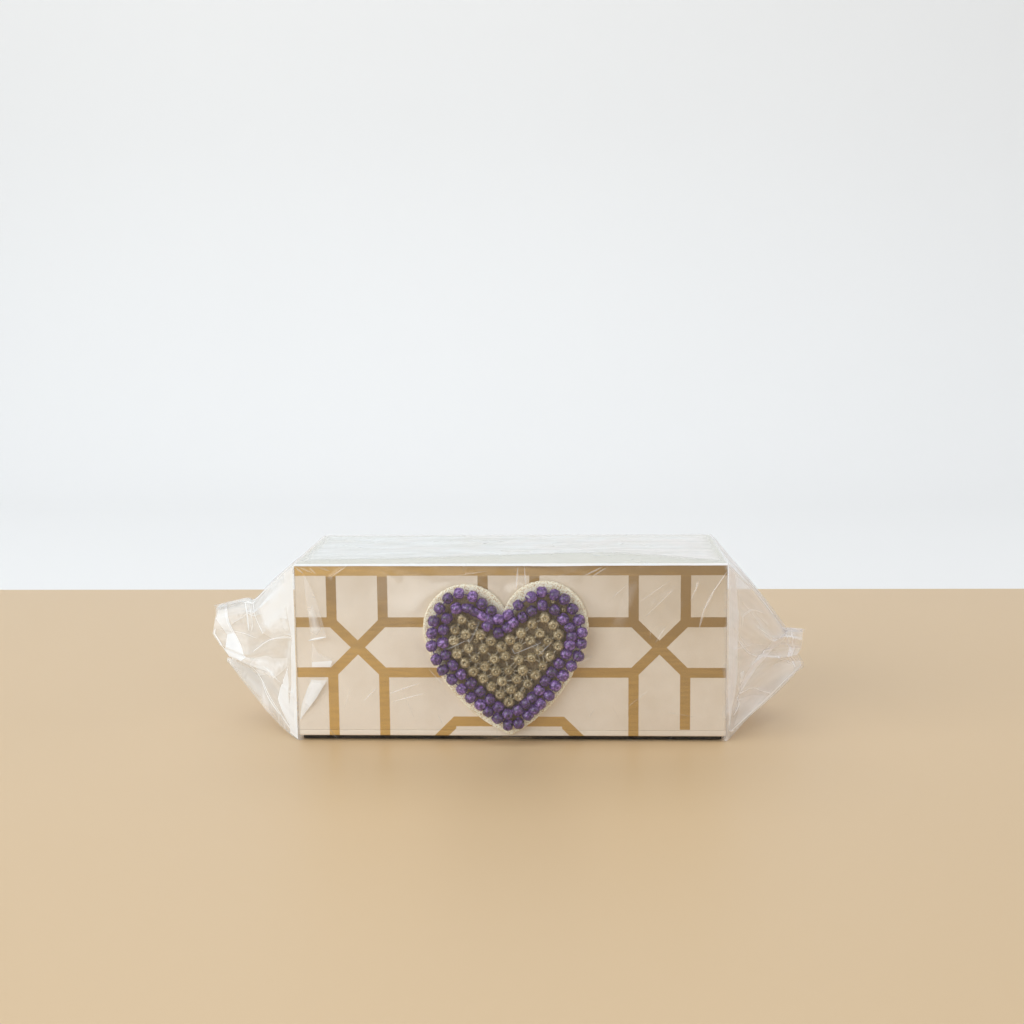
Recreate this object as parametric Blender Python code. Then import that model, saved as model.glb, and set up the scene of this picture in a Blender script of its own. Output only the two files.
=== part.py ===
"""Keepsake box: a board box with a lift-off lid, a beaded felt heart on the lid's front
wall, and a clear film wrap that is drawn together at both ends.

Metres, +Z up. +X is the long way of the box and its front faces -Y. The origin is the
middle of the underside of the film, where the wrapped box stands.
"""

import math

import bmesh
import bpy
from mathutils import Vector

MM = 0.001

# The board box
BOX_WIDTH = 160 * MM
BOX_DEPTH = 70 * MM
BOX_HEIGHT = 65 * MM            # underside of the base board to the top of the lid
CORNER_RADIUS = 0.8 * MM        # upright corners, covered with paper
EDGE_RADIUS = 0.5 * MM          # level edges, covered with paper
LID_WALL = 2.0 * MM
LID_TOP = 2.0 * MM
BASE_BOARD = 2.2 * MM
FOOT_HEIGHT = 1.4 * MM
FOOT_INSET = 1.5 * MM           # foot set back from the edge of the base board
TRAY_WALL = 1.8 * MM
TRAY_HEIGHT = 48 * MM           # neck walls above the base board
LID_PLAY = 0.5 * MM             # from the lid's wall to the neck, each side
TOUCH_GAP = 0.3 * MM            # between pieces that rest on each other
HAIR = 0.01 * MM                # allowed for rounding

# The heart: its height follows from the margins, its form is in shares of that height
HEART_TOP_MARGIN = 7.0 * MM     # top of the lid to the top of the lobes
HEART_FOOT_MARGIN = 1.6 * MM    # underside of the base board to the tip
HEART_ASIDE = -1.1 * MM         # middle of the heart from the middle of the box
HEART_TILT = math.radians(2.4)  # right lobe up
FELT = 1.5 * MM
LOBE_RADIUS = 0.291
LOBE_OVERLAP = 0.027            # how far each lobe's circle passes the middle line
SIDE_RADIUS = 1.0
TIP_RADIUS = 0.05

# The beads
PURPLE_BEAD = 4.0 * MM
GOLD_BEAD = 3.7 * MM
THREAD = 0.7 * MM
FELT_MARGIN = 1.3 * MM          # felt that shows outside the outer row
ROW_GAP = 0.2 * MM              # between the beads of two rows
PURPLE_PITCH = 4.55 * MM
GOLD_PITCH = 4.15 * MM          # beads of a square net that stands on its corner
BEAD_SHOULDER = 0.5             # share of the radius over which a bead is at its widest
BEAD_SIDES = 6

# The film: heights are in shares of the height of the film tube
FILM = 0.2 * MM
FILM_SLACK = 0.5 * MM           # between the film and the beads
FILM_SLOPE = 2.0                # steepest rise of the film beside the heart
HEART_REACH = 3.0 * MM          # film stays full height this far round the heart
LEFT_NECK_OUT = 22 * MM
LEFT_NECK_TOP = 0.69
LEFT_NECK_FOOT = 0.15
LEFT_NECK_TOP_DEPTH = 4 * MM
LEFT_NECK_FOOT_DEPTH = 12 * MM
LEFT_TAIL_OUT = 39 * MM
LEFT_TAIL_TOP = 0.66
LEFT_TAIL_FOOT = 0.34
LEFT_TAIL_DEPTH = 7 * MM
RIGHT_NECK_OUT = 27 * MM
RIGHT_NECK_TOP = 0.50
RIGHT_NECK_FOOT = 0.21
RIGHT_NECK_TOP_DEPTH = 4 * MM
RIGHT_NECK_FOOT_DEPTH = 8 * MM
RIGHT_TAIL_OUT = 33 * MM
RIGHT_TAIL_TOP = 0.51
RIGHT_TAIL_FOOT = 0.31
RIGHT_TAIL_DEPTH = 6 * MM
PLEAT = 0.9 * MM                # how far the pleats stand in and out at the neck

# Mesh steps
CORNER_STEPS = 2
LOBE_STEPS = 9
SIDE_STEPS = 7
TIP_STEPS = 3
PATH_STEPS = 60                 # for the lines that the beads follow
FRONT_CELLS = 12
FRONT_CROWDING = 1.3            # rows lie closer towards the bottom
OTHER_CELLS = 4
LENGTH_CELLS = 16
END_CELLS = 2
TAIL_CELLS = 2

# Levels and faces that follow from the sizes above
FOOT_Z = FILM + TOUCH_GAP
BOARD_Z = FOOT_Z + FOOT_HEIGHT
BOARD_TOP_Z = BOARD_Z + BASE_BOARD
LID_Z = BOARD_TOP_Z + TOUCH_GAP
LID_TOP_Z = BOARD_Z + BOX_HEIGHT
FRONT_Y = -BOX_DEPTH / 2
HEART_HEIGHT = BOX_HEIGHT - HEART_TOP_MARGIN - HEART_FOOT_MARGIN
HEART_FOOT_Z = BOARD_Z + HEART_FOOT_MARGIN
FELT_BACK_Y = FRONT_Y - TOUCH_GAP
FELT_FRONT_Y = FELT_BACK_Y - FELT
BEAD_FRONT_Y = FELT_FRONT_Y - TOUCH_GAP - max(PURPLE_BEAD, GOLD_BEAD)
OUTER_ROW_INSET = FELT_MARGIN + PURPLE_BEAD / 2
INNER_ROW_INSET = OUTER_ROW_INSET + PURPLE_BEAD + ROW_GAP
GOLD_INSET = INNER_ROW_INSET + PURPLE_BEAD / 2 + ROW_GAP + GOLD_BEAD / 2
FILM_FLOOR_Z = FILM
FILM_TOP_Z = LID_TOP_Z + TOUCH_GAP
FILM_HALF_DEPTH = BOX_DEPTH / 2 + TOUCH_GAP
FILM_HALF_LENGTH = BOX_WIDTH / 2 + TOUCH_GAP
FILM_BULGE = FRONT_Y - BEAD_FRONT_Y - TOUCH_GAP + FILM_SLACK


def clear_scene():
    """Remove whatever the scene holds."""
    for item in list(bpy.data.objects):
        bpy.data.objects.remove(item, do_unlink=True)


def make_material(name, colour, roughness, metallic=0.0, alpha=1.0):
    """A Principled material with plain values."""
    material = bpy.data.materials.new(name)
    material.use_nodes = True
    shader = material.node_tree.nodes["Principled BSDF"]
    shader.inputs["Base Color"].default_value = (*colour, 1.0)
    shader.inputs["Roughness"].default_value = roughness
    shader.inputs["Metallic"].default_value = metallic
    shader.inputs["Alpha"].default_value = alpha
    return material


def add_object(name, bm, material):
    """Turn a bmesh into an object of the scene, with its faces pointing out."""
    bmesh.ops.recalc_face_normals(bm, faces=bm.faces[:])
    mesh = bpy.data.meshes.new(name)
    bm.to_mesh(mesh)
    bm.free()
    mesh.materials.append(material)
    item = bpy.data.objects.new(name, mesh)
    bpy.context.scene.collection.objects.link(item)
    return item


def bridge_rings(bm, rings, closed=False):
    """Join rings of equally many vertices with quads, the last to the first if closed."""
    pairs = list(zip(rings, rings[1:]))
    if closed:
        pairs.append((rings[-1], rings[0]))
    for low, high in pairs:
        count = len(low)
        for i in range(count):
            j = (i + 1) % count
            bm.faces.new((low[i], low[j], high[j], high[i]))


def rounded_rectangle(half_x, half_y, radius):
    """Points of a rectangle with round corners, counter-clockwise."""
    points = []
    for quarter, (sign_x, sign_y) in enumerate(((1, 1), (-1, 1), (-1, -1), (1, -1))):
        start = quarter * math.pi / 2
        for step in range(CORNER_STEPS + 1):
            angle = start + step / CORNER_STEPS * math.pi / 2
            points.append((sign_x * (half_x - radius) + radius * math.cos(angle),
                           sign_y * (half_y - radius) + radius * math.sin(angle)))
    return points


def stacked_shell(name, levels, material):
    """One closed body from rectangular rings, each (inset from the box, corner, height)."""
    bm = bmesh.new()
    rings = []
    for inset, radius, height in levels:
        outline = rounded_rectangle(BOX_WIDTH / 2 - inset, BOX_DEPTH / 2 - inset, radius)
        rings.append([bm.verts.new((x, y, height)) for x, y in outline])
    bridge_rings(bm, rings)
    bm.faces.new(rings[0])
    bm.faces.new(rings[-1])
    return add_object(name, bm, material)


def make_base_tray(material):
    """Foot, base board and the neck that the lid slides over."""
    neck = LID_WALL + LID_PLAY
    hollow = neck + TRAY_WALL
    neck_top = BOARD_TOP_Z + TRAY_HEIGHT
    levels = [
        (FOOT_INSET, CORNER_RADIUS, FOOT_Z),
        (FOOT_INSET, CORNER_RADIUS, BOARD_Z),
        (EDGE_RADIUS, CORNER_RADIUS, BOARD_Z),
        (0.0, CORNER_RADIUS, BOARD_Z + EDGE_RADIUS),
        (0.0, CORNER_RADIUS, BOARD_TOP_Z - EDGE_RADIUS),
        (EDGE_RADIUS, CORNER_RADIUS, BOARD_TOP_Z),
        (neck, CORNER_RADIUS, BOARD_TOP_Z),
        (neck, CORNER_RADIUS, neck_top),
        (hollow, CORNER_RADIUS, neck_top),
        (hollow, CORNER_RADIUS, BOARD_TOP_Z),
    ]
    return stacked_shell("base_tray", levels, material)


def make_lid(material):
    """Top and four walls, open below, resting on the rim of the base board."""
    levels = [
        (LID_WALL, CORNER_RADIUS, LID_TOP_Z - LID_TOP),
        (LID_WALL, CORNER_RADIUS, LID_Z),
        (EDGE_RADIUS, CORNER_RADIUS, LID_Z),
        (0.0, CORNER_RADIUS, LID_Z + EDGE_RADIUS),
        (0.0, CORNER_RADIUS, LID_TOP_Z - EDGE_RADIUS),
        (EDGE_RADIUS, CORNER_RADIUS, LID_TOP_Z),
    ]
    return stacked_shell("lid", levels, material)


def arc(centre, radius, start, end, steps):
    """Points of an arc, both ends included."""
    points = []
    for step in range(steps + 1):
        angle = start + (end - start) * step / steps
        points.append(centre + radius * Vector((math.cos(angle), math.sin(angle))))
    return points


def heart_half(inset, lobe_steps, side_steps, tip_steps):
    """Right half of the heart, drawn in by inset, from the notch round to the tip.

    The tip stands at (0, 0) and the lobes touch the height of the heart.
    """
    lobe_radius = LOBE_RADIUS * HEART_HEIGHT
    side_radius = SIDE_RADIUS * HEART_HEIGHT
    tip_radius = TIP_RADIUS * HEART_HEIGHT
    lobe = Vector((lobe_radius - LOBE_OVERLAP * HEART_HEIGHT, HEART_HEIGHT - lobe_radius))
    tip = Vector((0.0, tip_radius))
    notch = Vector((0.0, lobe.y + math.sqrt(lobe_radius ** 2 - lobe.x ** 2)))

    # The side's circle touches the lobe's circle and the tip's circle from outside them
    to_tip = tip - lobe
    from_lobe = side_radius - lobe_radius
    from_tip = side_radius - tip_radius
    along = (from_lobe ** 2 - from_tip ** 2 + to_tip.length ** 2) / (2 * to_tip.length)
    across = math.sqrt(from_lobe ** 2 - along ** 2)
    side = lobe + to_tip.normalized() * along + Vector((to_tip.y, -to_tip.x)).normalized() * across

    def direction(start, end):
        return math.atan2(end.y - start.y, end.x - start.x)

    points = []
    if inset > 0:
        points += arc(notch, inset, -math.pi / 2, direction(notch, lobe), tip_steps)[:-1]
    meets_side = direction(side, lobe)
    points += arc(lobe, lobe_radius - inset, direction(lobe, notch), meets_side, lobe_steps)
    if inset < tip_radius:
        meets_tip = direction(side, tip)
        points += arc(side, side_radius - inset, meets_side, meets_tip, side_steps)[1:]
        points += arc(tip, tip_radius - inset, meets_tip, -math.pi / 2, tip_steps)[1:]
    else:
        on_middle = -math.acos(-side.x / (side_radius - inset))
        points += arc(side, side_radius - inset, meets_side, on_middle, side_steps)[1:]
    return points


def heart_outline(inset=0.0, lobe_steps=LOBE_STEPS, side_steps=SIDE_STEPS, tip_steps=TIP_STEPS):
    """The whole outline, from the notch down the right side to the tip and back up."""
    right = heart_half(inset, lobe_steps, side_steps, tip_steps)
    left = [Vector((-point.x, point.y)) for point in reversed(right[1:-1])]
    return right + left


def fine_outline(inset):
    """The outline with many points, for measuring along it."""
    return heart_outline(inset, PATH_STEPS, PATH_STEPS, PATH_STEPS)


def on_front(point, y):
    """World place of a heart point on an upright plane, turned about the heart's middle."""
    from_middle = point - Vector((0.0, HEART_HEIGHT / 2))
    cos, sin = math.cos(HEART_TILT), math.sin(HEART_TILT)
    turned = Vector((cos * from_middle.x - sin * from_middle.y,
                     sin * from_middle.x + cos * from_middle.y))
    return Vector((HEART_ASIDE + turned.x, y, HEART_FOOT_Z + HEART_HEIGHT / 2 + turned.y))


def make_heart_backing(material):
    """The felt plate that the beads are sewn to."""
    bm = bmesh.new()
    outline = heart_outline()
    front = [bm.verts.new(on_front(point, FELT_FRONT_Y)) for point in outline]
    back = [bm.verts.new(on_front(point, FELT_BACK_Y)) for point in outline]
    bridge_rings(bm, [front, back])
    bm.faces.new(front)
    bm.faces.new(back)
    return add_object("heart_backing", bm, material)


def places_along(outline, count, phase):
    """Evenly spaced points on a closed line, counted from its tip, phase in pitches."""
    loop = outline + outline[:1]
    lengths = [0.0]
    for start, end in zip(loop, loop[1:]):
        lengths.append(lengths[-1] + (end - start).length)
    total = lengths[-1]
    places = []
    for index in range(count):
        wanted = (total / 2 + (index + phase) * total / count) % total
        place = next(i for i in range(len(lengths) - 1) if lengths[i + 1] >= wanted)
        share = (wanted - lengths[place]) / (lengths[place + 1] - lengths[place])
        places.append(loop[place].lerp(loop[place + 1], share))
    return places


def line_length(outline):
    """Length of a closed line."""
    return sum((end - start).length for start, end in zip(outline, outline[1:] + outline[:1]))


def distance_to_outline(point, outline):
    """Shortest way from a point to a closed line."""
    nearest = math.inf
    for start, end in zip(outline, outline[1:] + outline[:1]):
        edge = end - start
        share = max(0.0, min(1.0, (point - start).dot(edge) / edge.length_squared))
        nearest = min(nearest, (point - start - share * edge).length)
    return nearest


def is_inside(point, outline):
    """Whether a point lies inside a closed line."""
    inside = False
    for start, end in zip(outline, outline[1:] + outline[:1]):
        if (start.y > point.y) != (end.y > point.y):
            crossing = start.x + (point.y - start.y) / (end.y - start.y) * (end.x - start.x)
            if crossing > point.x:
                inside = not inside
    return inside


def bead_string(name, centres, bead_size, closed, material):
    """Beads on their thread as one tube that swells at each bead."""
    radius = bead_size / 2
    shoulder = BEAD_SHOULDER * radius
    profile = [(-radius, THREAD / 2), (-shoulder, radius), (shoulder, radius),
               (radius, THREAD / 2)]
    y = FELT_FRONT_Y - TOUCH_GAP - radius
    bm = bmesh.new()
    rings = []
    last = len(centres) - 1
    for index, centre in enumerate(centres):
        before = centres[index - 1] if closed or index > 0 else centre
        after = centres[(index + 1) % len(centres)] if closed or index < last else centre
        along = (after - before).normalized()
        across = Vector((along.y, -along.x))
        for offset, ring_radius in profile:
            ring = []
            for corner in range(BEAD_SIDES):
                angle = 2 * math.pi * corner / BEAD_SIDES
                flat = centre + along * offset + across * (ring_radius * math.cos(angle))
                ring.append(bm.verts.new(on_front(flat, y - ring_radius * math.sin(angle))))
            rings.append(ring)
    bridge_rings(bm, rings, closed)
    if not closed:
        bm.faces.new(rings[0])
        bm.faces.new(rings[-1])
    item = add_object(name, bm, material)
    item.data.shade_smooth()
    return item


def make_bead_rows(material):
    """The two purple rows: the outer one straddles the tip, the inner one has a bead on it."""
    outer = fine_outline(OUTER_ROW_INSET)
    pairs = round(line_length(outer) / (2 * PURPLE_PITCH))
    bead_string("outer_bead_row", places_along(outer, 2 * pairs, 0.5), PURPLE_BEAD, True, material)
    inner = fine_outline(INNER_ROW_INSET)
    pairs = round(line_length(inner) / (2 * PURPLE_PITCH) - 0.5)
    bead_string("inner_bead_row", places_along(inner, 2 * pairs + 1, 0.0), PURPLE_BEAD, True,
                material)


def gold_bead_centres():
    """Net points inside the purple rows, up one column and down the next."""
    outline = fine_outline(0.0)
    lowest = min(point.y for point in fine_outline(GOLD_INSET))
    column_step = GOLD_PITCH / math.sqrt(2)
    row_step = 2 * column_step
    columns = math.floor(HEART_HEIGHT / column_step)
    rows = math.floor(HEART_HEIGHT / row_step)
    centres = []
    upwards = True
    for column in range(-columns, columns + 1):
        shift = 0.5 * (column % 2)
        points = []
        for row in range(rows + 1):
            point = Vector((column * column_step, lowest + (row + shift) * row_step))
            inset = distance_to_outline(point, outline)
            if is_inside(point, outline) and inset >= GOLD_INSET - HAIR:
                points.append(point)
        centres += points if upwards else points[::-1]
        upwards = not upwards
    return centres


def make_gold_beads(material):
    """The middle of the heart."""
    return bead_string("gold_bead_rows", gold_bead_centres(), GOLD_BEAD, False, material)


def film_bulge(x, z, outline):
    """How far the film stands off the front wall at a place, to pass over the heart."""
    to_edge = min(z - FILM_FLOOR_Z, FILM_TOP_Z - z, FILM_HALF_LENGTH - abs(x))
    if to_edge <= 0:
        return 0.0
    place = Vector((x, z))
    away = 0.0
    if not is_inside(place, outline):
        away = max(0.0, distance_to_outline(place, outline) - HEART_REACH)
    return min(FILM_BULGE * to_edge / (to_edge + away), FILM_SLOPE * to_edge)


def heart_on_wall():
    """The heart's outline in world x and z."""
    places = [on_front(point, 0.0) for point in heart_outline()]
    return [Vector((place.x, place.z)) for place in places]


def crowded(count):
    """Shares from 0 to 1 that lie closer towards 0."""
    return [(index / count) ** FRONT_CROWDING for index in range(count)]


def even(count):
    """Shares from 0 up to 1, without the 1."""
    return [index / count for index in range(count)]


def film_box_ring(x, outline):
    """Inner face of the film round the box at one place along it."""
    height = FILM_TOP_Z - FILM_FLOOR_Z
    ring = []
    for share in crowded(FRONT_CELLS):
        z = FILM_FLOOR_Z + share * height
        ring.append(Vector((x, -FILM_HALF_DEPTH - film_bulge(x, z, outline), z)))
    for share in even(OTHER_CELLS):
        ring.append(Vector((x, FILM_HALF_DEPTH * (2 * share - 1), FILM_TOP_Z)))
    for share in even(OTHER_CELLS):
        ring.append(Vector((x, FILM_HALF_DEPTH, FILM_TOP_Z - share * height)))
    for share in even(OTHER_CELLS):
        ring.append(Vector((x, FILM_HALF_DEPTH * (1 - 2 * share), FILM_FLOOR_Z)))
    return ring


def film_end_ring(x, top, foot, top_depth, foot_depth):
    """Pleated ring of the drawn-in film: four sides whose points stand in and out in turn."""
    height = FILM_TOP_Z - FILM_FLOOR_Z
    top_z = FILM_FLOOR_Z + top * height
    foot_z = FILM_FLOOR_Z + foot * height
    corners = [Vector((-foot_depth, foot_z)), Vector((-top_depth, top_z)),
               Vector((top_depth, top_z)), Vector((foot_depth, foot_z))]
    ring = []
    counts = (FRONT_CELLS, OTHER_CELLS, OTHER_CELLS, OTHER_CELLS)
    for side, count in enumerate(counts):
        start, end = corners[side], corners[(side + 1) % len(corners)]
        along = (end - start).normalized()
        outwards = Vector((-along.y, along.x))
        for index, share in enumerate(even(count)):
            pleat = PLEAT if index % 2 else 0.0
            point = start.lerp(end, share) - outwards * pleat
            ring.append(Vector((x, point.x, point.y)))
    return ring


def between(ring_a, ring_b, share):
    """Ring part of the way from one to another."""
    return [a.lerp(b, share) for a, b in zip(ring_a, ring_b)]


def film_end_rings(box_ring, neck, tail):
    """Rings from the end of the box, through the neck, to the end of the tail."""
    drawn_in = [between(box_ring, neck, (step + 1) / END_CELLS) for step in range(END_CELLS)]
    tail_part = [between(neck, tail, (step + 1) / TAIL_CELLS) for step in range(TAIL_CELLS)]
    return drawn_in + tail_part


def make_film_wrap(material):
    """The film as a thin tube round the box, over the heart, open at both tails."""
    outline = heart_on_wall()
    stations = [FILM_HALF_LENGTH * (2 * cell / LENGTH_CELLS - 1) for cell in range(LENGTH_CELLS + 1)]
    middle = [film_box_ring(x, outline) for x in stations]
    left_neck = film_end_ring(-FILM_HALF_LENGTH - LEFT_NECK_OUT, LEFT_NECK_TOP, LEFT_NECK_FOOT,
                              LEFT_NECK_TOP_DEPTH, LEFT_NECK_FOOT_DEPTH)
    left_tail = film_end_ring(-FILM_HALF_LENGTH - LEFT_TAIL_OUT, LEFT_TAIL_TOP, LEFT_TAIL_FOOT,
                              LEFT_TAIL_DEPTH, LEFT_TAIL_DEPTH)
    right_neck = film_end_ring(FILM_HALF_LENGTH + RIGHT_NECK_OUT, RIGHT_NECK_TOP, RIGHT_NECK_FOOT,
                               RIGHT_NECK_TOP_DEPTH, RIGHT_NECK_FOOT_DEPTH)
    right_tail = film_end_ring(FILM_HALF_LENGTH + RIGHT_TAIL_OUT, RIGHT_TAIL_TOP, RIGHT_TAIL_FOOT,
                               RIGHT_TAIL_DEPTH, RIGHT_TAIL_DEPTH)
    left_rings = film_end_rings(middle[0], left_neck, left_tail)
    right_rings = film_end_rings(middle[-1], right_neck, right_tail)
    bm = bmesh.new()
    rings = [[bm.verts.new(place) for place in ring]
             for ring in left_rings[::-1] + middle + right_rings]
    bridge_rings(bm, rings)
    item = add_object("film_wrap", bm, material)
    thicken = item.modifiers.new("film_thickness", "SOLIDIFY")
    thicken.thickness = FILM
    thicken.offset = 1.0
    thicken.use_even_offset = True
    return item


def main():
    """Build every piece."""
    clear_scene()
    ivory_board = make_material("ivory_board", (0.72, 0.62, 0.51), 0.55)
    cream_felt = make_material("cream_felt", (0.76, 0.67, 0.52), 0.95)
    purple_bead = make_material("purple_bead", (0.10, 0.05, 0.27), 0.35)
    gold_bead = make_material("gold_bead", (0.30, 0.26, 0.14), 0.35, metallic=0.6)
    clear_film = make_material("clear_film", (0.92, 0.92, 0.90), 0.1, alpha=0.3)
    make_base_tray(ivory_board)
    make_lid(ivory_board)
    make_heart_backing(cream_felt)
    make_bead_rows(purple_bead)
    make_gold_beads(gold_bead)
    make_film_wrap(clear_film)


main()
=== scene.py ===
"""Keepsake box in a clear film wrap: the looks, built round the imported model.

Metres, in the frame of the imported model: +X is the long way of the box, its front faces -Y,
+Z is up, and z = 0 is what the wrapped box stands on. The numbers of the print, of the beads'
places and of the film are in millimetres.
"""

import logging
import math
from dataclasses import dataclass, field
from enum import Enum, IntEnum
from typing import Any, Callable, Iterable, Optional, Sequence, Union

import bpy
import numpy as np
from mathutils import Matrix, Vector
from mathutils.geometry import delaunay_2d_cdt


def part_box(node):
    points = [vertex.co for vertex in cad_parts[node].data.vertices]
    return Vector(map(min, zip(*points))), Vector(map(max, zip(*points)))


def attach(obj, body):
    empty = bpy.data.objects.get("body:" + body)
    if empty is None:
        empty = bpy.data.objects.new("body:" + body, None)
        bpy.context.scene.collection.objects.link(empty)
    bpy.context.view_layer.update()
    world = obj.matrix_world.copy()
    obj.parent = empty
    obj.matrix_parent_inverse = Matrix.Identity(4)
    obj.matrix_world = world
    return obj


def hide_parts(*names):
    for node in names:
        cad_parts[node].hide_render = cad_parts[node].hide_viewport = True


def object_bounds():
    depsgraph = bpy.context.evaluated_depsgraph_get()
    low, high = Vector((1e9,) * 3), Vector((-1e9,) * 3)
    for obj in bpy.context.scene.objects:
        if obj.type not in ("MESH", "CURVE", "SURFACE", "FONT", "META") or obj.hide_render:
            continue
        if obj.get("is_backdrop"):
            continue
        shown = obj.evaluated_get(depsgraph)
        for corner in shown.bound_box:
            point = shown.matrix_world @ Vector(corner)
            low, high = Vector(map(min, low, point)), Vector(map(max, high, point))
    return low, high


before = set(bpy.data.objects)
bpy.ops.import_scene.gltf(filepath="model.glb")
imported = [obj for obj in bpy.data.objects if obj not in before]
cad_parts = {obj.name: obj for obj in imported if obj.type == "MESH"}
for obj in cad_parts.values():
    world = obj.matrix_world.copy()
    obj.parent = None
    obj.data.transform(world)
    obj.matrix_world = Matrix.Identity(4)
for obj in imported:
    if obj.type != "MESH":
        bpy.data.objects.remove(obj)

log = logging.getLogger("keepsake_box")

MM = 0.001
IMAGE_SIDE_PX = 1024
SENSOR = 36.0                       # width of the camera's sensor, in Blender's millimetres
MIX_A, MIX_B, MIX_RESULT = 6, 7, 2  # colour sockets of a Mix node that mixes colours
FAR = 1000.0                        # a distance that no print reaches

Number = Union[float, "Value"]
Colour = tuple[float, float, float]
Places = tuple[tuple[float, ...], ...]
Faces = list[tuple[int, ...]]
Material = bpy.types.Material
Piece = bpy.types.Object
Socket = bpy.types.NodeSocket


def paint(red: int, green: int, blue: int) -> Colour:
    """Linear colour of a paint given as 0 to 255 on a screen."""
    shares = np.array([red, green, blue]) / 255
    linear = np.where(shares <= 0.04045, shares / 12.92, ((shares + 0.055) / 1.055) ** 2.4)
    return tuple(linear.tolist())


def operator(operation: str, reflected: bool = False) -> Callable[["Value", Number], "Value"]:
    """Make an operator of Value.

    Args:
        operation: What its Math node does.
        reflected: Whether the value comes second.

    Returns:
        The method.
    """
    def add_node(self: "Value", other: Number) -> "Value":
        """Add the Math node."""
        return self.graph.math(operation, *((other, self) if reflected else (self, other)))

    return add_node


class Value:
    """A number on a shader socket. Operators on it add Math nodes to its graph."""

    __add__ = __radd__ = operator("ADD")
    __mul__ = __rmul__ = operator("MULTIPLY")
    __sub__ = operator("SUBTRACT")
    __rsub__ = operator("SUBTRACT", True)
    __truediv__ = operator("DIVIDE")
    __rtruediv__ = operator("DIVIDE", True)
    __pow__ = operator("POWER")
    __rpow__ = operator("POWER", True)
    __gt__ = operator("GREATER_THAN")
    __lt__ = operator("LESS_THAN")
    least = operator("MINIMUM")
    most = operator("MAXIMUM")
    folded = operator("PINGPONG")     # distance to the nearest multiple of twice the number

    def __init__(self, graph: "Graph", socket: Socket) -> None:
        """Keep the socket and the graph that new nodes go to."""
        self.graph = graph
        self.socket = socket

    def __abs__(self) -> "Value":
        """Size without the sign."""
        return self.graph.math("ABSOLUTE", self)

    def within_one(self) -> "Value":
        """Held between 0 and 1."""
        return self.most(0.0).least(1.0)


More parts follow.
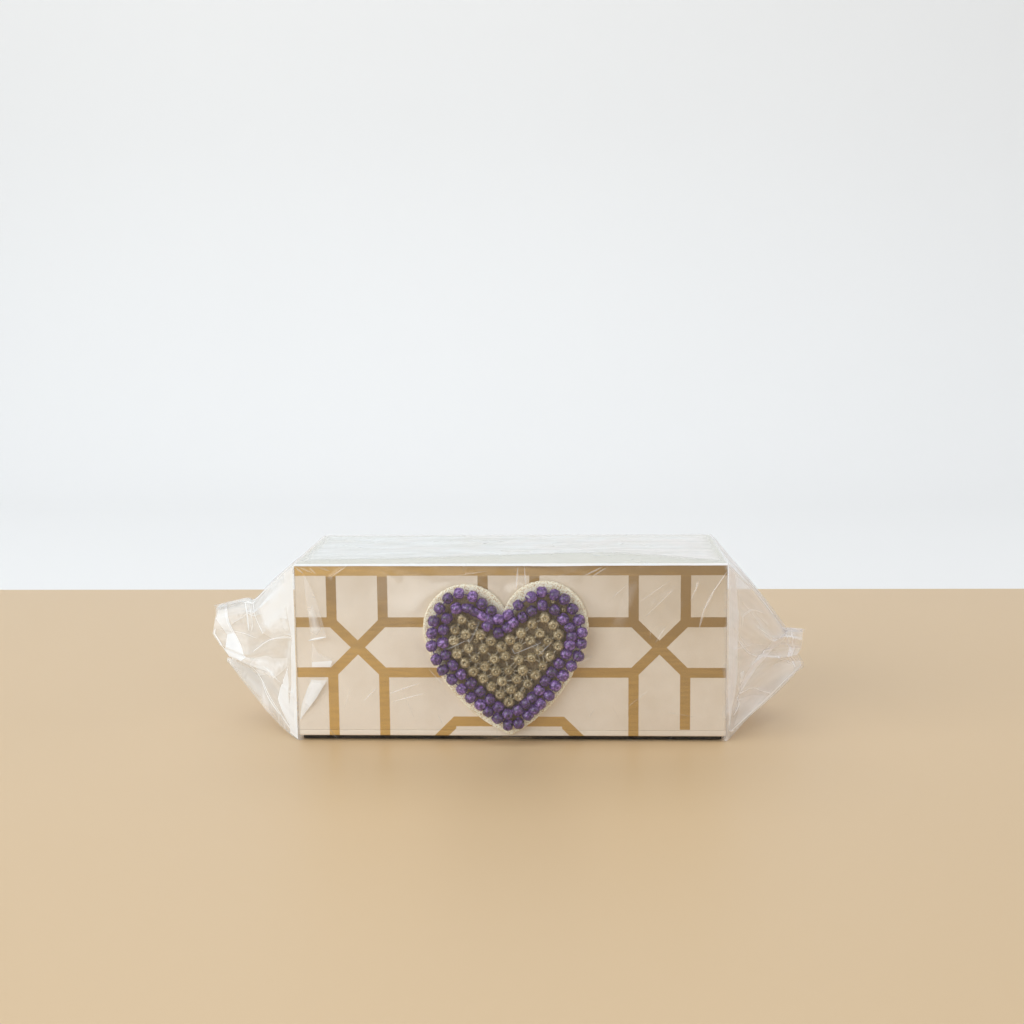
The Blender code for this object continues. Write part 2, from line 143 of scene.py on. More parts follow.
class Graph:
    """The nodes of one material."""

    def __init__(self, name: str) -> None:
        """Start an empty material of that name."""
        self.material = bpy.data.materials.new(name)
        self.material.use_nodes = True
        self.nodes = self.material.node_tree.nodes
        self.links = self.material.node_tree.links
        self.nodes.clear()

    def node(self, kind: str, settings: Optional[dict[str, Any]] = None,
             sockets: Optional[dict[Any, Any]] = None) -> bpy.types.Node:
        """Add a node.

        Args:
            kind: Blender's type of the node.
            settings: Its settings, set first. stops are a ramp's (place, colour) pairs.
            sockets: Values or links of its sockets, by name or number.

        Returns:
            The node.
        """
        node = self.nodes.new(kind)
        for name, setting in (settings or {}).items():
            if name == "stops":
                self._set_stops(node.color_ramp, setting)
            else:
                setattr(node, name, setting)
        for key, value in (sockets or {}).items():
            self._feed(node.inputs[key], value)
        return node

    def _set_stops(self, ramp: bpy.types.ColorRamp, stops: Sequence[tuple[float, Colour]]) -> None:
        """Give a ramp its places and colours."""
        while len(ramp.elements) < len(stops):
            ramp.elements.new(1.0)
        for element, (place, colour) in zip(ramp.elements, stops):
            element.position = place
            element.color = (*colour, 1.0)

    def _feed(self, socket: Socket, value: Any) -> None:
        """Link or set one socket."""
        value = value.socket if isinstance(value, Value) else value
        if isinstance(value, Socket):
            self.links.new(value, socket)
        elif socket.type == "RGBA":
            socket.default_value = (*value, 1.0)
        else:
            socket.default_value = value

    def math(self, operation: str, *numbers: Number) -> Value:
        """A Math node on one or two numbers."""
        node = self.node("ShaderNodeMath", {"operation": operation}, dict(enumerate(numbers)))
        return Value(self, node.outputs[0])

    def own_place(self) -> Socket:
        """The point's own place on the object, in metres."""
        return self.node("ShaderNodeTexCoord").outputs["Object"]

    def place(self) -> tuple[Value, Value, Value]:
        """The point's own x, y and z, in metres."""
        split = self.node("ShaderNodeSeparateXYZ", sockets={0: self.own_place()})
        return tuple(Value(self, split.outputs[axis]) for axis in range(3))

    def stretched(self, scales: Colour, vector: Optional[Socket] = None) -> Socket:
        """A vector, or the point's place, with each axis scaled."""
        return self.node("ShaderNodeVectorMath", {"operation": "MULTIPLY"},
                         {0: vector or self.own_place(), 1: scales}).outputs[0]

    def noise(self, scale: float, detail: float = 2.0, roughness: float = 0.5,
              vector: Optional[Socket] = None) -> Value:
        """Noise around 0.5.

        Args:
            scale: Number of waves a unit of the vector.
            detail: Number of finer waves on top.
            roughness: How strong those are.
            vector: What it is read along, the point's own place if None.

        Returns:
            The noise.
        """
        sockets = {"Vector": vector or self.own_place(), "Scale": scale, "Detail": detail,
                   "Roughness": roughness}
        return Value(self, self.node("ShaderNodeTexNoise", None, sockets).outputs[0])

    def cells(self, scale: float, feature: str, vector: Optional[Socket] = None) -> Value:
        """Voronoi distance of that feature."""
        node = self.node("ShaderNodeTexVoronoi", {"feature": feature},
                         {"Vector": vector or self.own_place(), "Scale": scale})
        return Value(self, node.outputs["Distance"])

    def stored(self, name: str, output: str = "Fac") -> Union[Value, Socket]:
        """A number stored on the mesh, or its three numbers with the output Vector."""
        socket = self.node("ShaderNodeAttribute", {"attribute_name": name}).outputs[output]
        return Value(self, socket) if output == "Fac" else socket

    def mix(self, share: Number, first: Any, second: Any) -> Socket:
        """Colour between two others."""
        return self.node("ShaderNodeMix", {"data_type": "RGBA"},
                         {0: share, MIX_A: first, MIX_B: second}).outputs[MIX_RESULT]

    def ramp(self, value: Value, *stops: tuple[float, Colour]) -> Socket:
        """Colour of a number by a ramp."""
        return self.node("ShaderNodeValToRGB", {"stops": stops}, {0: value}).outputs[0]

    def bump(self, height: Value, distance: float) -> Socket:
        """Normal over relief that is distance metres deep."""
        return self.node("ShaderNodeBump", None, {"Height": height, "Distance": distance}).outputs[0]

    def principled(self, sockets: dict[str, Any]) -> Socket:
        """A Principled shader with these sockets."""
        return self.node("ShaderNodeBsdfPrincipled", None, sockets).outputs[0]

    def blend(self, share: Number, first: Socket, second: Socket) -> Socket:
        """Shader between two others."""
        return self.node("ShaderNodeMixShader", None, {0: share, 1: first, 2: second}).outputs[0]

    def finish(self, shader: Socket) -> Material:
        """Show the shader and return the material."""
        self.node("ShaderNodeOutputMaterial", None, {"Surface": shader})
        return self.material


@dataclass(frozen=True)
class BoxSizes:
    """Sizes of the board box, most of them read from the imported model."""

    half_width: float
    half_depth: float
    foot_z: float
    board_z: float
    board_top_z: float
    top_z: float
    corner: float = 0.8 * MM
    edge: float = 0.5 * MM
    lid_wall: float = 2.0 * MM
    lid_top: float = 2.0 * MM
    # small, so that the foot's near-black paint, a painted contact shadow, sits just under the front
    # edge
    foot_inset: float = 1.5 * MM
    tray_wall: float = 1.8 * MM
    tray_height: float = 48 * MM
    lid_play: float = 0.5 * MM
    rim_edge: float = 0.1 * MM        # rounding where the lid meets the board
    rim_gap: float = 0.06 * MM

    @classmethod
    def from_frame(cls, foot_height: float = 1.4 * MM, touch_gap: float = 0.3 * MM) -> "BoxSizes":
        """Read the lid's and the tray's corners."""
        lid_low, lid_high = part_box("lid")
        tray_low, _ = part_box("base_tray")
        return cls(half_width=lid_high.x, half_depth=lid_high.y, foot_z=tray_low.z,
                   board_z=tray_low.z + foot_height, board_top_z=lid_low.z - touch_gap,
                   top_z=lid_high.z)


@dataclass(frozen=True)
class HeartForm:
    """The heart's outline, made of arcs, and its place on the front wall.

    Points are (x, z) rows with the tip at (0, 0). The radii are shares of the height.
    """

    box: BoxSizes
    top_margin: float = 7.0 * MM
    foot_margin: float = 1.6 * MM
    aside: float = -1.1 * MM
    tilt: float = math.radians(2.4)
    lobe_share: float = 0.291
    overlap_share: float = 0.027
    side_share: float = 1.0
    tip_share: float = 0.05

    @property
    def height(self) -> float:
        """From the tip to the top of the lobes."""
        return self.box.top_z - self.box.board_z - self.top_margin - self.foot_margin

    def _half(self, inset: float, steps: int) -> np.ndarray:
        """Right half of the outline drawn in by inset, from the notch to the tip.

        Args:
            inset: How far inside the edge.
            steps: Points on each arc.

        Returns:
            Rows of x and z.
        """
        lobe_r, side_r, tip_r = (share * self.height
                                 for share in (self.lobe_share, self.side_share, self.tip_share))
        lobe = np.array([lobe_r - self.overlap_share * self.height, self.height - lobe_r])
        tip = np.array([0.0, tip_r])
        notch = np.array([0.0, lobe[1] + math.sqrt(lobe_r ** 2 - lobe[0] ** 2)])
        to_tip = tip - lobe
        span = float(np.hypot(*to_tip))
        from_lobe, from_tip = side_r - lobe_r, side_r - tip_r
        along = (from_lobe ** 2 - from_tip ** 2 + span ** 2) / (2 * span)
        across = math.sqrt(from_lobe ** 2 - along ** 2)
        side = lobe + to_tip / span * along + np.array([to_tip[1], -to_tip[0]]) / span * across

        def direction(start: np.ndarray, end: np.ndarray) -> float:
            """Angle from one point to another."""
            return math.atan2(end[1] - start[1], end[0] - start[0])

        def arc(centre: np.ndarray, radius: float, start: float, end: float) -> np.ndarray:
            """Points of an arc, both ends included."""
            angles = np.linspace(start, end, steps + 1)
            return centre + radius * np.stack([np.cos(angles), np.sin(angles)], axis=1)

        meets_side = direction(side, lobe)
        parts = [arc(lobe, lobe_r - inset, direction(lobe, notch), meets_side)]
        if inset > 0:
            parts.insert(0, arc(notch, inset, -math.pi / 2, direction(notch, lobe))[:-1])
        if inset < tip_r:
            meets_tip = direction(side, tip)
            parts.append(arc(side, side_r - inset, meets_side, meets_tip)[1:])
            parts.append(arc(tip, tip_r - inset, meets_tip, -math.pi / 2)[1:])
        else:
            on_middle = -math.acos(-side[0] / (side_r - inset))
            parts.append(arc(side, side_r - inset, meets_side, on_middle)[1:])
        return np.concatenate(parts)

    def outline(self, inset: float, steps: int) -> np.ndarray:
        """The whole outline, from the notch down the right side and back up."""
        right = self._half(inset, steps)
        return np.concatenate([right, right[1:-1][::-1] * (-1, 1)])

    def spaced(self, inset: float, count: int) -> np.ndarray:
        """Even places along the outline drawn in by inset, counted from the tip."""
        loop = self.outline(inset, 60)
        closed = np.concatenate([loop, loop[:1]])
        lengths = running_lengths(closed)
        total = lengths[-1]
        return read_off((total / 2 + np.arange(count) * total / count) % total, lengths, closed)

    def on_front(self, points: np.ndarray, y: Union[float, np.ndarray]) -> np.ndarray:
        """World places of heart points on upright planes, turned about the heart's middle."""
        from_middle = points - (0.0, self.height / 2)
        cos, sin = math.cos(self.tilt), math.sin(self.tilt)
        x = self.aside + cos * from_middle[:, 0] - sin * from_middle[:, 1]
        z = self.box.board_z + self.foot_margin + self.height / 2
        z = z + sin * from_middle[:, 0] + cos * from_middle[:, 1]
        return np.stack([x, np.broadcast_to(y, x.shape), z], axis=1)

    def on_wall(self) -> np.ndarray:
        """The outline in world x and z."""
        return self.on_front(self.outline(0.0, 12), 0.0)[:, [0, 2]]


def running_lengths(points: np.ndarray) -> np.ndarray:
    """Lengths along a line from its start to each of its points."""
    steps = np.linalg.norm(np.diff(points, axis=0), axis=1)
    return np.concatenate([[0.0], np.cumsum(steps)])


def read_off(wanted: np.ndarray, stops: np.ndarray, rows: np.ndarray) -> np.ndarray:
    """Rows at the wanted places, where each column changes evenly from stop to stop."""
    return np.stack([np.interp(wanted, stops, column) for column in rows.T], axis=1)


def segment_distances(points: np.ndarray, starts: np.ndarray,
                      ends: np.ndarray) -> tuple[np.ndarray, np.ndarray]:
    """How far points are from line segments.

    Args:
        points: Rows of two numbers.
        starts: First ends of the segments.
        ends: Last ends of the segments.

    Returns:
        Distances, and shares along the segments, as points by segments.
    """
    edge = ends - starts
    away = points[:, None, :] - starts[None]
    share = np.clip((away * edge).sum(2) / np.maximum((edge ** 2).sum(1), 1e-18), 0.0, 1.0)
    return np.linalg.norm(away - share[:, :, None] * edge[None], axis=2), share


def outline_distances(points: np.ndarray, outline: np.ndarray) -> np.ndarray:
    """Shortest ways from points to a closed line."""
    return segment_distances(points, outline, np.roll(outline, -1, axis=0))[0].min(axis=1)


def inside_outline(points: np.ndarray, outline: np.ndarray) -> np.ndarray:
    """Whether points lie inside a closed line."""
    start, end = outline, np.roll(outline, -1, axis=0)
    level = points[:, 1][:, None]
    crosses = (start[:, 1] > level) != (end[:, 1] > level)
    rise = np.where(end[:, 1] == start[:, 1], 1e-12, end[:, 1] - start[:, 1])
    at = start[:, 0] + (level - start[:, 1]) / rise * (end[:, 0] - start[:, 0])
    return (crosses & (at > points[:, 0][:, None])).sum(axis=1) % 2 == 1


def store(mesh: bpy.types.Mesh, name: str, domain: str, values: np.ndarray) -> None:
    """Keep one or three numbers for each point or face of a mesh."""
    kind, key = ("FLOAT", "value") if values.ndim == 1 else ("FLOAT_VECTOR", "vector")
    mesh.attributes.new(name, kind, domain).data.foreach_set(key, values.astype(np.float32).ravel())


class MeshParts:
    """Vertices and faces that are collected and then made one mesh."""

    def __init__(self) -> None:
        """Start with nothing."""
        self.points: list[np.ndarray] = []
        self.faces: Faces = []
        self.tones: list[np.ndarray] = []
        self.count = 0

    def add(self, points: np.ndarray, faces: Iterable[Sequence[int]],
            tone: Union[float, np.ndarray] = 0.5) -> None:
        """Add a body with its own tone."""
        self.faces += [tuple(self.count + index for index in face) for face in faces]
        self.points.append(np.asarray(points, float))
        self.tones.append(np.full(len(points), tone))
        self.count += len(points)

    def add_rings(self, rings: Sequence[np.ndarray], tone: Union[float, np.ndarray] = 0.5) -> None:
        """Add a body of rings of equally many points whose first and last ring are filled."""
        faces = ring_faces(len(rings), len(rings[0]))
        self.add(np.concatenate(rings), faces + end_faces(len(rings), len(rings[0])), tone)

    def piece(self, name: str, material: Material, smooth_below: float) -> Piece:
        """Make the object.

        Args:
            name: Name of the piece.
            material: Its material.
            smooth_below: Edges that bend less than this angle, in degrees, are shaded smooth.

        Returns:
            The object, in the scene.
        """
        mesh = bpy.data.meshes.new(name)
        mesh.from_pydata(np.concatenate(self.points).tolist(), [], self.faces)
        mesh.update()
        mesh.shade_smooth()
        mesh.set_sharp_from_angle(angle=math.radians(smooth_below))
        store(mesh, "tone", "POINT", np.concatenate(self.tones))
        mesh.materials.append(material)
        item = bpy.data.objects.new(name, mesh)
        bpy.context.scene.collection.objects.link(item)
        return item


def ring_faces(rings: int, size: int, closed: bool = False) -> Faces:
    """Quads between rings of equally many points.

    Args:
        rings: Number of rings.
        size: Points on each.
        closed: Whether the last ring joins the first.

    Returns:
        The quads.
    """
    return [(low + i, low + (i + 1) % size, high + (i + 1) % size, high + i)
            for low, high in ((ring * size, (ring + 1) % rings * size)
                              for ring in range(rings if closed else rings - 1))
            for i in range(size)]


def end_faces(rings: int, size: int) -> Faces:
    """The faces that fill the first and the last ring."""
    last = (rings - 1) * size
    return [tuple(range(size))[::-1], tuple(range(last, last + size))]


def tube(points: np.ndarray, radius: float, closed: bool, sides: int = 8) -> tuple[np.ndarray, Faces]:
    """A round tube along points that lie about in one upright plane.

    Args:
        points: Rows of x, y and z.
        radius: Of the tube.
        closed: Whether it runs round.
        sides: Of its section.

    Returns:
        Vertices and faces.
    """
    if closed:
        along = np.roll(points, -1, axis=0) - np.roll(points, 1, axis=0)
    else:
        along = np.gradient(points, axis=0)
    along = along / np.linalg.norm(along, axis=1)[:, None]
    across = np.cross(along, (0.0, -1.0, 0.0))
    across /= np.linalg.norm(across, axis=1)[:, None]
    proud = np.cross(across, along)
    angles = 2 * math.pi * np.arange(sides) / sides
    rings = [point + radius * (np.cos(angles)[:, None] * side + np.sin(angles)[:, None] * up)
             for point, side, up in zip(points, across, proud)]
    faces = ring_faces(len(points), sides, closed)
    return np.concatenate(rings), faces if closed else faces + end_faces(len(points), sides)


def dress(piece: Piece, slot: str, *nodes: str) -> Piece:
    """Let a piece ride on the box and hide the CAD nodes that it stands for."""
    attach(piece, "root")
    if nodes:
        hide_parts(*nodes)
    return piece


@dataclass(frozen=True)
class PrintedBoard:
    """Ivory paper over board, printed with a flat gold trellis, with painted shade that darkens it
    towards the upper right and a near-black foot that is a painted contact shadow. Lengths in
    millimetres.
    """

    ivory: Colour = paint(238, 228, 215)
    # the darker paper colour: its cloudy tone, and the painted shade towards the upper right
    ivory_shade: Colour = paint(208, 191, 168)
    # the lid's top is painted darker and greener than the walls: painted shade of the top seen under
    # the film
    ivory_top_painted_shade: Colour = paint(211, 210, 195)
    gold: Colour = paint(212, 173, 104)
    # the darker gold: wear of the foil, and the painted shade towards the upper right
    gold_shade: Colour = paint(160, 129, 82)
    # near-black foot: a painted contact shadow under the box
    foot: Colour = paint(18, 11, 6)
    band: float = 3.78
    soft_edge: float = 0.14
    row_middle: float = 35.8         # height halfway between the two rows of bands
    row_half_gap: float = 9.55
    motif_pitch: float = 56.0        # from one crossing to the next along the front
    motif_aside: float = -0.8        # the middle crossing from the middle of the box
    hat_height: float = 7.5
    hat_half: float = 19.8
    hat_aside: float = -0.7
    middle_aside: float = 0.4        # how far the middle motif is off to the right
    short_upright: float = 64.6      # the upright that ends above the rim
    painted_shade_from: float = 34.0         # from this height up the painted shade darkens the colours faster
    border_spare: float = 0.2        # how much wider the border is than a band, at each side
    raggedness: float = 0.16
    touching: float = 0.4            # what counts as at the box's ends or at the rim

    def _trellis(self, graph: Graph, sizes: BoxSizes) -> Value:
        """Draw the trellis from the distances to its bands.

        Args:
            graph: The material's nodes.
            sizes: The box's.

        Returns:
            1 on the gold bands and 0 on the paper.
        """
        x, y, z = (axis / MM for axis in graph.place())
        on_end = abs(x) > sizes.half_width / MM - self.touching
        on_front = (1.0 - on_end) * (y < 0.0)
        aside = self.motif_aside + self.middle_aside * (abs(x) < self.motif_pitch / 2)
        from_crossing = (x - aside) * (1.0 - on_end) + y * on_end
        sideways = from_crossing.folded(self.motif_pitch / 2)
        level = abs(z - self.row_middle)
        gap = self.row_half_gap
        outside = FAR * (sideways + level > 2 * gap)
        slanted = abs(sideways - level) / math.sqrt(2) + outside
        rows = abs(level - gap) + FAR * (sideways < gap)
        low = z < self.row_middle
        under_hat = on_front * low * (abs(from_crossing) < self.motif_pitch / 2)
        ends_early = abs(x - self.short_upright) < self.band
        ends_early = ends_early * (z < sizes.board_top_z / MM + self.touching)
        uprights = abs(sideways - gap) + FAR * ((level < gap) + under_hat + ends_early * on_front)
        border = abs(z - (sizes.top_z / MM - self.band / 2)) - self.border_spare
        along_hat = abs(x - self.hat_aside)
        brim = abs(z - self.hat_height) + FAR * (along_hat > self.hat_half)
        slope = abs(z - self.hat_height + (along_hat - self.hat_half)) / math.sqrt(2)
        slope = slope + FAR * ((along_hat < self.hat_half) + (z > self.hat_height + self.band / 2))
        hat = brim.least(slope) + FAR * (1.0 - on_front)
        nearest = slanted.least(rows).least(uprights).least(border).least(hat)
        ragged = (graph.noise(900.0, 3.0) - 0.5) * self.raggedness
        inked = ((self.band / 2 - nearest + ragged) / self.soft_edge + 0.5).within_one()
        return inked * (z < (sizes.top_z - sizes.edge / 2) / MM)

    def material(self, name: str, sizes: BoxSizes) -> Material:
        """Build the material.

        Args:
            name: Its name.
            sizes: The box's, for where the border and the foot are.

        Returns:
            The material.
        """
        graph = Graph(name)
        ink = self._trellis(graph, sizes)
        cloudy = graph.noise(55.0, 4.0, 0.6)
        fibres = graph.noise(1400.0, 3.0, 0.7, graph.stretched((1.0, 1.0, 2.2)))
        strokes = graph.noise(260.0, 4.0, 0.6, graph.stretched((0.35, 0.35, 3.0)))
        grain = graph.noise(2600.0, 2.0)
        x, _, height = graph.place()
        above = (height - self.painted_shade_from * MM).most(0.0)
        painted_shade_up_right = height * 6.0 + above * (17.0 + x * 60.0) + x * 2.2    # painted shade, darker towards the upper right
        shaded = cloudy - 0.4 + (fibres - 0.5) * 0.4 + painted_shade_up_right - above * 8.0
        paper = graph.mix(shaded.within_one(), self.ivory, self.ivory_shade)
        # the top face takes that colour with its painted shade
        paper = graph.mix(height > sizes.top_z - sizes.edge / 2, paper, self.ivory_top_painted_shade)
        on_border = height > sizes.top_z - (self.band + 0.5) * MM
        # the foil's streaks and grain are wear; painted shade darkens it towards the upper right, and
        # the top border is kept lighter
        wear_and_painted_shade = strokes * 0.9 - 0.18 + (grain - 0.5) * 0.9 + painted_shade_up_right * 1.4 - on_border * 0.9
        foil = graph.mix(wear_and_painted_shade.within_one(), self.gold, self.gold_shade)
        # below the board the foot takes the painted contact shadow colour
        on_foot = height < sizes.board_z - 0.05 * MM
        relief = fibres * 0.6 + cloudy * 0.4 + ink * 1.2 + grain * ink * 0.5
        return graph.finish(graph.principled({
            "Base Color": graph.mix(on_foot, graph.mix(ink, paper, foil), self.foot),
            "Roughness": 0.62 - ink * 0.16 + (fibres - 0.5) * 0.1,
            "Metallic": ink * 0.25,
            "Specular IOR Level": 0.4,
            "Normal": graph.bump(relief, 0.02 * MM),
        }))


@dataclass(frozen=True)
class WoolFelt:
    """Cut felt, darker inside the bead rows where the beads stand on it."""

    wool: Colour = paint(255, 252, 232)
    wool_shade: Colour = paint(204, 168, 118)
    ground: Colour = paint(188, 163, 126)
    ground_shade: Colour = paint(94, 72, 50)

    def material(self) -> Material:
        """Build the material."""
        graph = Graph("cream_felt")
        matted = graph.noise(1700.0, 5.0, 0.8)
        strands = graph.noise(2400.0, 3.0, 0.6, graph.stretched((1.0, 1.0, 0.45)))
        tufts = graph.cells(900.0, "F1")
        specks = graph.noise(2600.0, 2.0, 0.6)
        wool = graph.mix((matted * 3.0 + specks * 5.5 - 4.15).within_one(), self.wool, self.wool_shade)
        ground = graph.mix((strands * 2.0 - 0.6).within_one(), self.ground, self.ground_shade)
        covered = (graph.stored("tone") + (specks - 0.5) * 0.9).within_one()
        relief = matted * 0.6 + strands * 0.5 - tufts * 0.35
        return graph.finish(graph.principled({
            "Base Color": graph.mix(covered, wool, ground),
            "Roughness": 0.95,
            "Specular IOR Level": 0.15,
            "Sheen Weight": 0.35,
            "Sheen Roughness": 0.6,
            "Normal": graph.bump(relief, 0.15 * MM),
        }))


@dataclass(frozen=True)
class BeadFinish:
    """Satin beads whose colour changes a little from one to the next."""

    name: str
    light: Colour
    middle: Colour
    dark: Colour
    metallic: float
    roughness: float
    coat: float
    own_tone: float                   # how much one bead differs from the next
    mottling: float
    lumpiness: float

    def material(self) -> Material:
        """Build the material."""
        graph = Graph(self.name)
        mottled = graph.noise(900.0, 4.0, 0.65)
        specks = graph.cells(1500.0, "F1")
        own = graph.stored("tone") * self.own_tone
        tone = own + (mottled - 0.5) * self.mottling + 0.5 - self.own_tone / 2 + (0.35 - specks) * 0.4
        stops = (0.05, self.dark), (0.5, self.middle), (0.95, self.light)
        return graph.finish(graph.principled({
            "Base Color": graph.ramp(tone.within_one(), *stops),
            "Metallic": self.metallic,
            "Roughness": self.roughness + (mottled - 0.5) * 0.3,
            "Coat Weight": self.coat,
            "Coat Roughness": 0.22,
            "Normal": graph.bump(mottled * 0.7 + specks * 0.3, 0.12 * MM * self.lumpiness),
        }))


@dataclass(frozen=True)
class TwistedThread:
    """Sewing thread."""

    name: str
    light: Colour
    dark: Colour

    def material(self) -> Material:
        """Build the material."""
        graph = Graph(self.name)
        plies = graph.noise(3800.0, 2.0, 0.5, graph.stretched((1.0, 1.0, 0.5)))
        return graph.finish(graph.principled({
            "Base Color": graph.mix((plies * 2.0 - 0.5).within_one(), self.light, self.dark),
            "Roughness": 0.7,
            "Sheen Weight": 0.2,
            "Normal": graph.bump(plies, 0.05 * MM),
        }))


@dataclass(frozen=True)
class ClearFilm:
    """Clear wrapping film: see-through, glossy, and whitened along its folds; on many patches and
    edges the white is painted highlight and reflection.
    """

    clear: Colour = (0.985, 0.985, 0.985)
    mirror: Colour = (1.0, 1.0, 1.0)
    milky: Colour = (0.95, 0.975, 1.0)
    rosy: Colour = (0.98, 0.95, 0.95)
    straight_gloss: float = 0.05      # mirrored share of light that falls straight on it
    lets_through: float = 0.15        # share of light that a white place lets through

    def material(self) -> Material:
        """Build the material."""
        graph = Graph("clear_film")
        flat = graph.stored("flat", "Vector")
        slow = graph.noise(0.055, 2.0, 0.45, flat)
        crackle = graph.cells(0.3, "DISTANCE_TO_EDGE", flat)
        normal = graph.bump(slow + crackle.least(0.2) * 0.04, 0.4 * MM)
        facing = graph.node("ShaderNodeLayerWeight", None, {"Blend": 0.5, "Normal": normal})
        slant = Value(graph, facing.outputs["Facing"])
        gloss = self.straight_gloss + (1.0 - self.straight_gloss) * slant ** 5.0
        mirror = graph.principled({"Base Color": self.mirror, "Metallic": 1.0, "Roughness": 0.24,
                                   "Normal": normal})
        see_through = graph.node("ShaderNodeBsdfTransparent", None, {0: self.clear}).outputs[0]
        clear = graph.blend(gloss * graph.stored("shine"), see_through, mirror)
        rosy = graph.noise(0.08, 2.0, 0.5, flat) * 3.0 - 1.2 + graph.place()[0] * 8.0
        lit = graph.principled({"Base Color": graph.mix(rosy.within_one(), self.milky, self.rosy),
                                "Roughness": 0.4, "Normal": normal})
        glow = graph.node("ShaderNodeBsdfTranslucent", None, {0: self.milky, 1: normal}).outputs[0]
        white = graph.blend(self.lets_through, lit, glow)
        along = graph.stretched((0.3, 1.0, 1.0), flat)
        cloud = 0.9 + (graph.noise(0.12, 2.0, 0.5, along) - 0.5) * 1.1
        veil = graph.stored("veil") * cloud * (1.0 + slant ** 3.0)
        # white where the film is whitened, and where highlights and reflections are painted on
        haze_and_painted_highlight = graph.stored("haze_and_painted_highlight") * (0.7 + cloud * 0.4) + veil
        return graph.finish(graph.blend(haze_and_painted_highlight.within_one(), clear, white))


@dataclass(frozen=True)
class StageFinish:
    """A plain matt surface of the studio."""

    name: str
    colour: Colour
    roughness: float = 0.8

    def material(self) -> Material:
        """Build the material."""
        graph = Graph(self.name)
        darker = tuple(0.9 * part for part in self.colour)
        colour = graph.mix(graph.noise(6.0, 2.0) * 0.12, self.colour, darker)
        return graph.finish(graph.principled({"Base Color": colour, "Roughness": self.roughness}))


@dataclass
class BoardBox:
    """The lift-off lid and the base board with its neck."""

    sizes: BoxSizes
    finish: PrintedBoard = field(default_factory=PrintedBoard)
    corner_steps: int = 6
    edge_steps: int = 4

    def _ring(self, inset: float, z: float) -> np.ndarray:
        """A rectangle with round corners at one height."""
        half_x, half_y = self.sizes.half_width - inset, self.sizes.half_depth - inset
        radius = self.sizes.corner
        ring = []
        for quarter, (sign_x, sign_y) in enumerate(((1, 1), (-1, 1), (-1, -1), (1, -1))):
            for angle in np.linspace(quarter, quarter + 1, self.corner_steps + 1) * math.pi / 2:
                ring.append((sign_x * (half_x - radius) + radius * math.cos(angle),
                             sign_y * (half_y - radius) + radius * math.sin(angle), z))
        return np.array(ring)

    def _rounded(self, z: float, upward: bool, radius: float) -> list[tuple[float, float]]:
        """(inset, height) pairs of a rounded level edge that ends at height z.

        Args:
            z: Height of the flat face beside the edge.
            upward: Whether that face looks up.
            radius: Of the edge.

        Returns:
            The pairs, from the wall to the face if upward and otherwise the other way.
        """
        away = -radius if upward else radius
        pairs = [(radius * (1 - math.cos(angle)), z + away * (1 - math.sin(angle)))
                 for angle in np.linspace(0.0, math.pi / 2, self.edge_steps + 1)]
        return pairs if upward else pairs[::-1]

    def _shell(self, name: str, levels: list[tuple[float, float]]) -> Piece:
        """One closed body from (inset, height) levels."""
        parts = MeshParts()
        parts.add_rings([self._ring(inset, z) for inset, z in levels])
        return parts.piece(name, self.finish.material("printed_" + name, self.sizes), 50.0)

    def build(self) -> list[Piece]:
        """Make both pieces."""
        s = self.sizes
        lid_z = s.board_top_z + s.rim_gap
        lid = [(s.lid_wall, s.top_z - s.lid_top), (s.lid_wall, lid_z)]
        lid += self._rounded(lid_z, False, s.rim_edge) + self._rounded(s.top_z, True, s.edge)
        neck = s.lid_wall + s.lid_play
        hollow = neck + s.tray_wall
        neck_top = s.board_top_z + s.tray_height
        tray = [(s.foot_inset, s.foot_z), (s.foot_inset, s.board_z)]
        tray += self._rounded(s.board_z, False, s.edge)
        tray += self._rounded(s.board_top_z, True, s.rim_edge)
        tray += [(neck, s.board_top_z), (neck, neck_top), (hollow, neck_top), (hollow, s.board_top_z)]
        return [dress(self._shell("lid_board", lid), "printed_board", "lid"),
                dress(self._shell("base_board", tray), "ivory_board", "base_tray")]


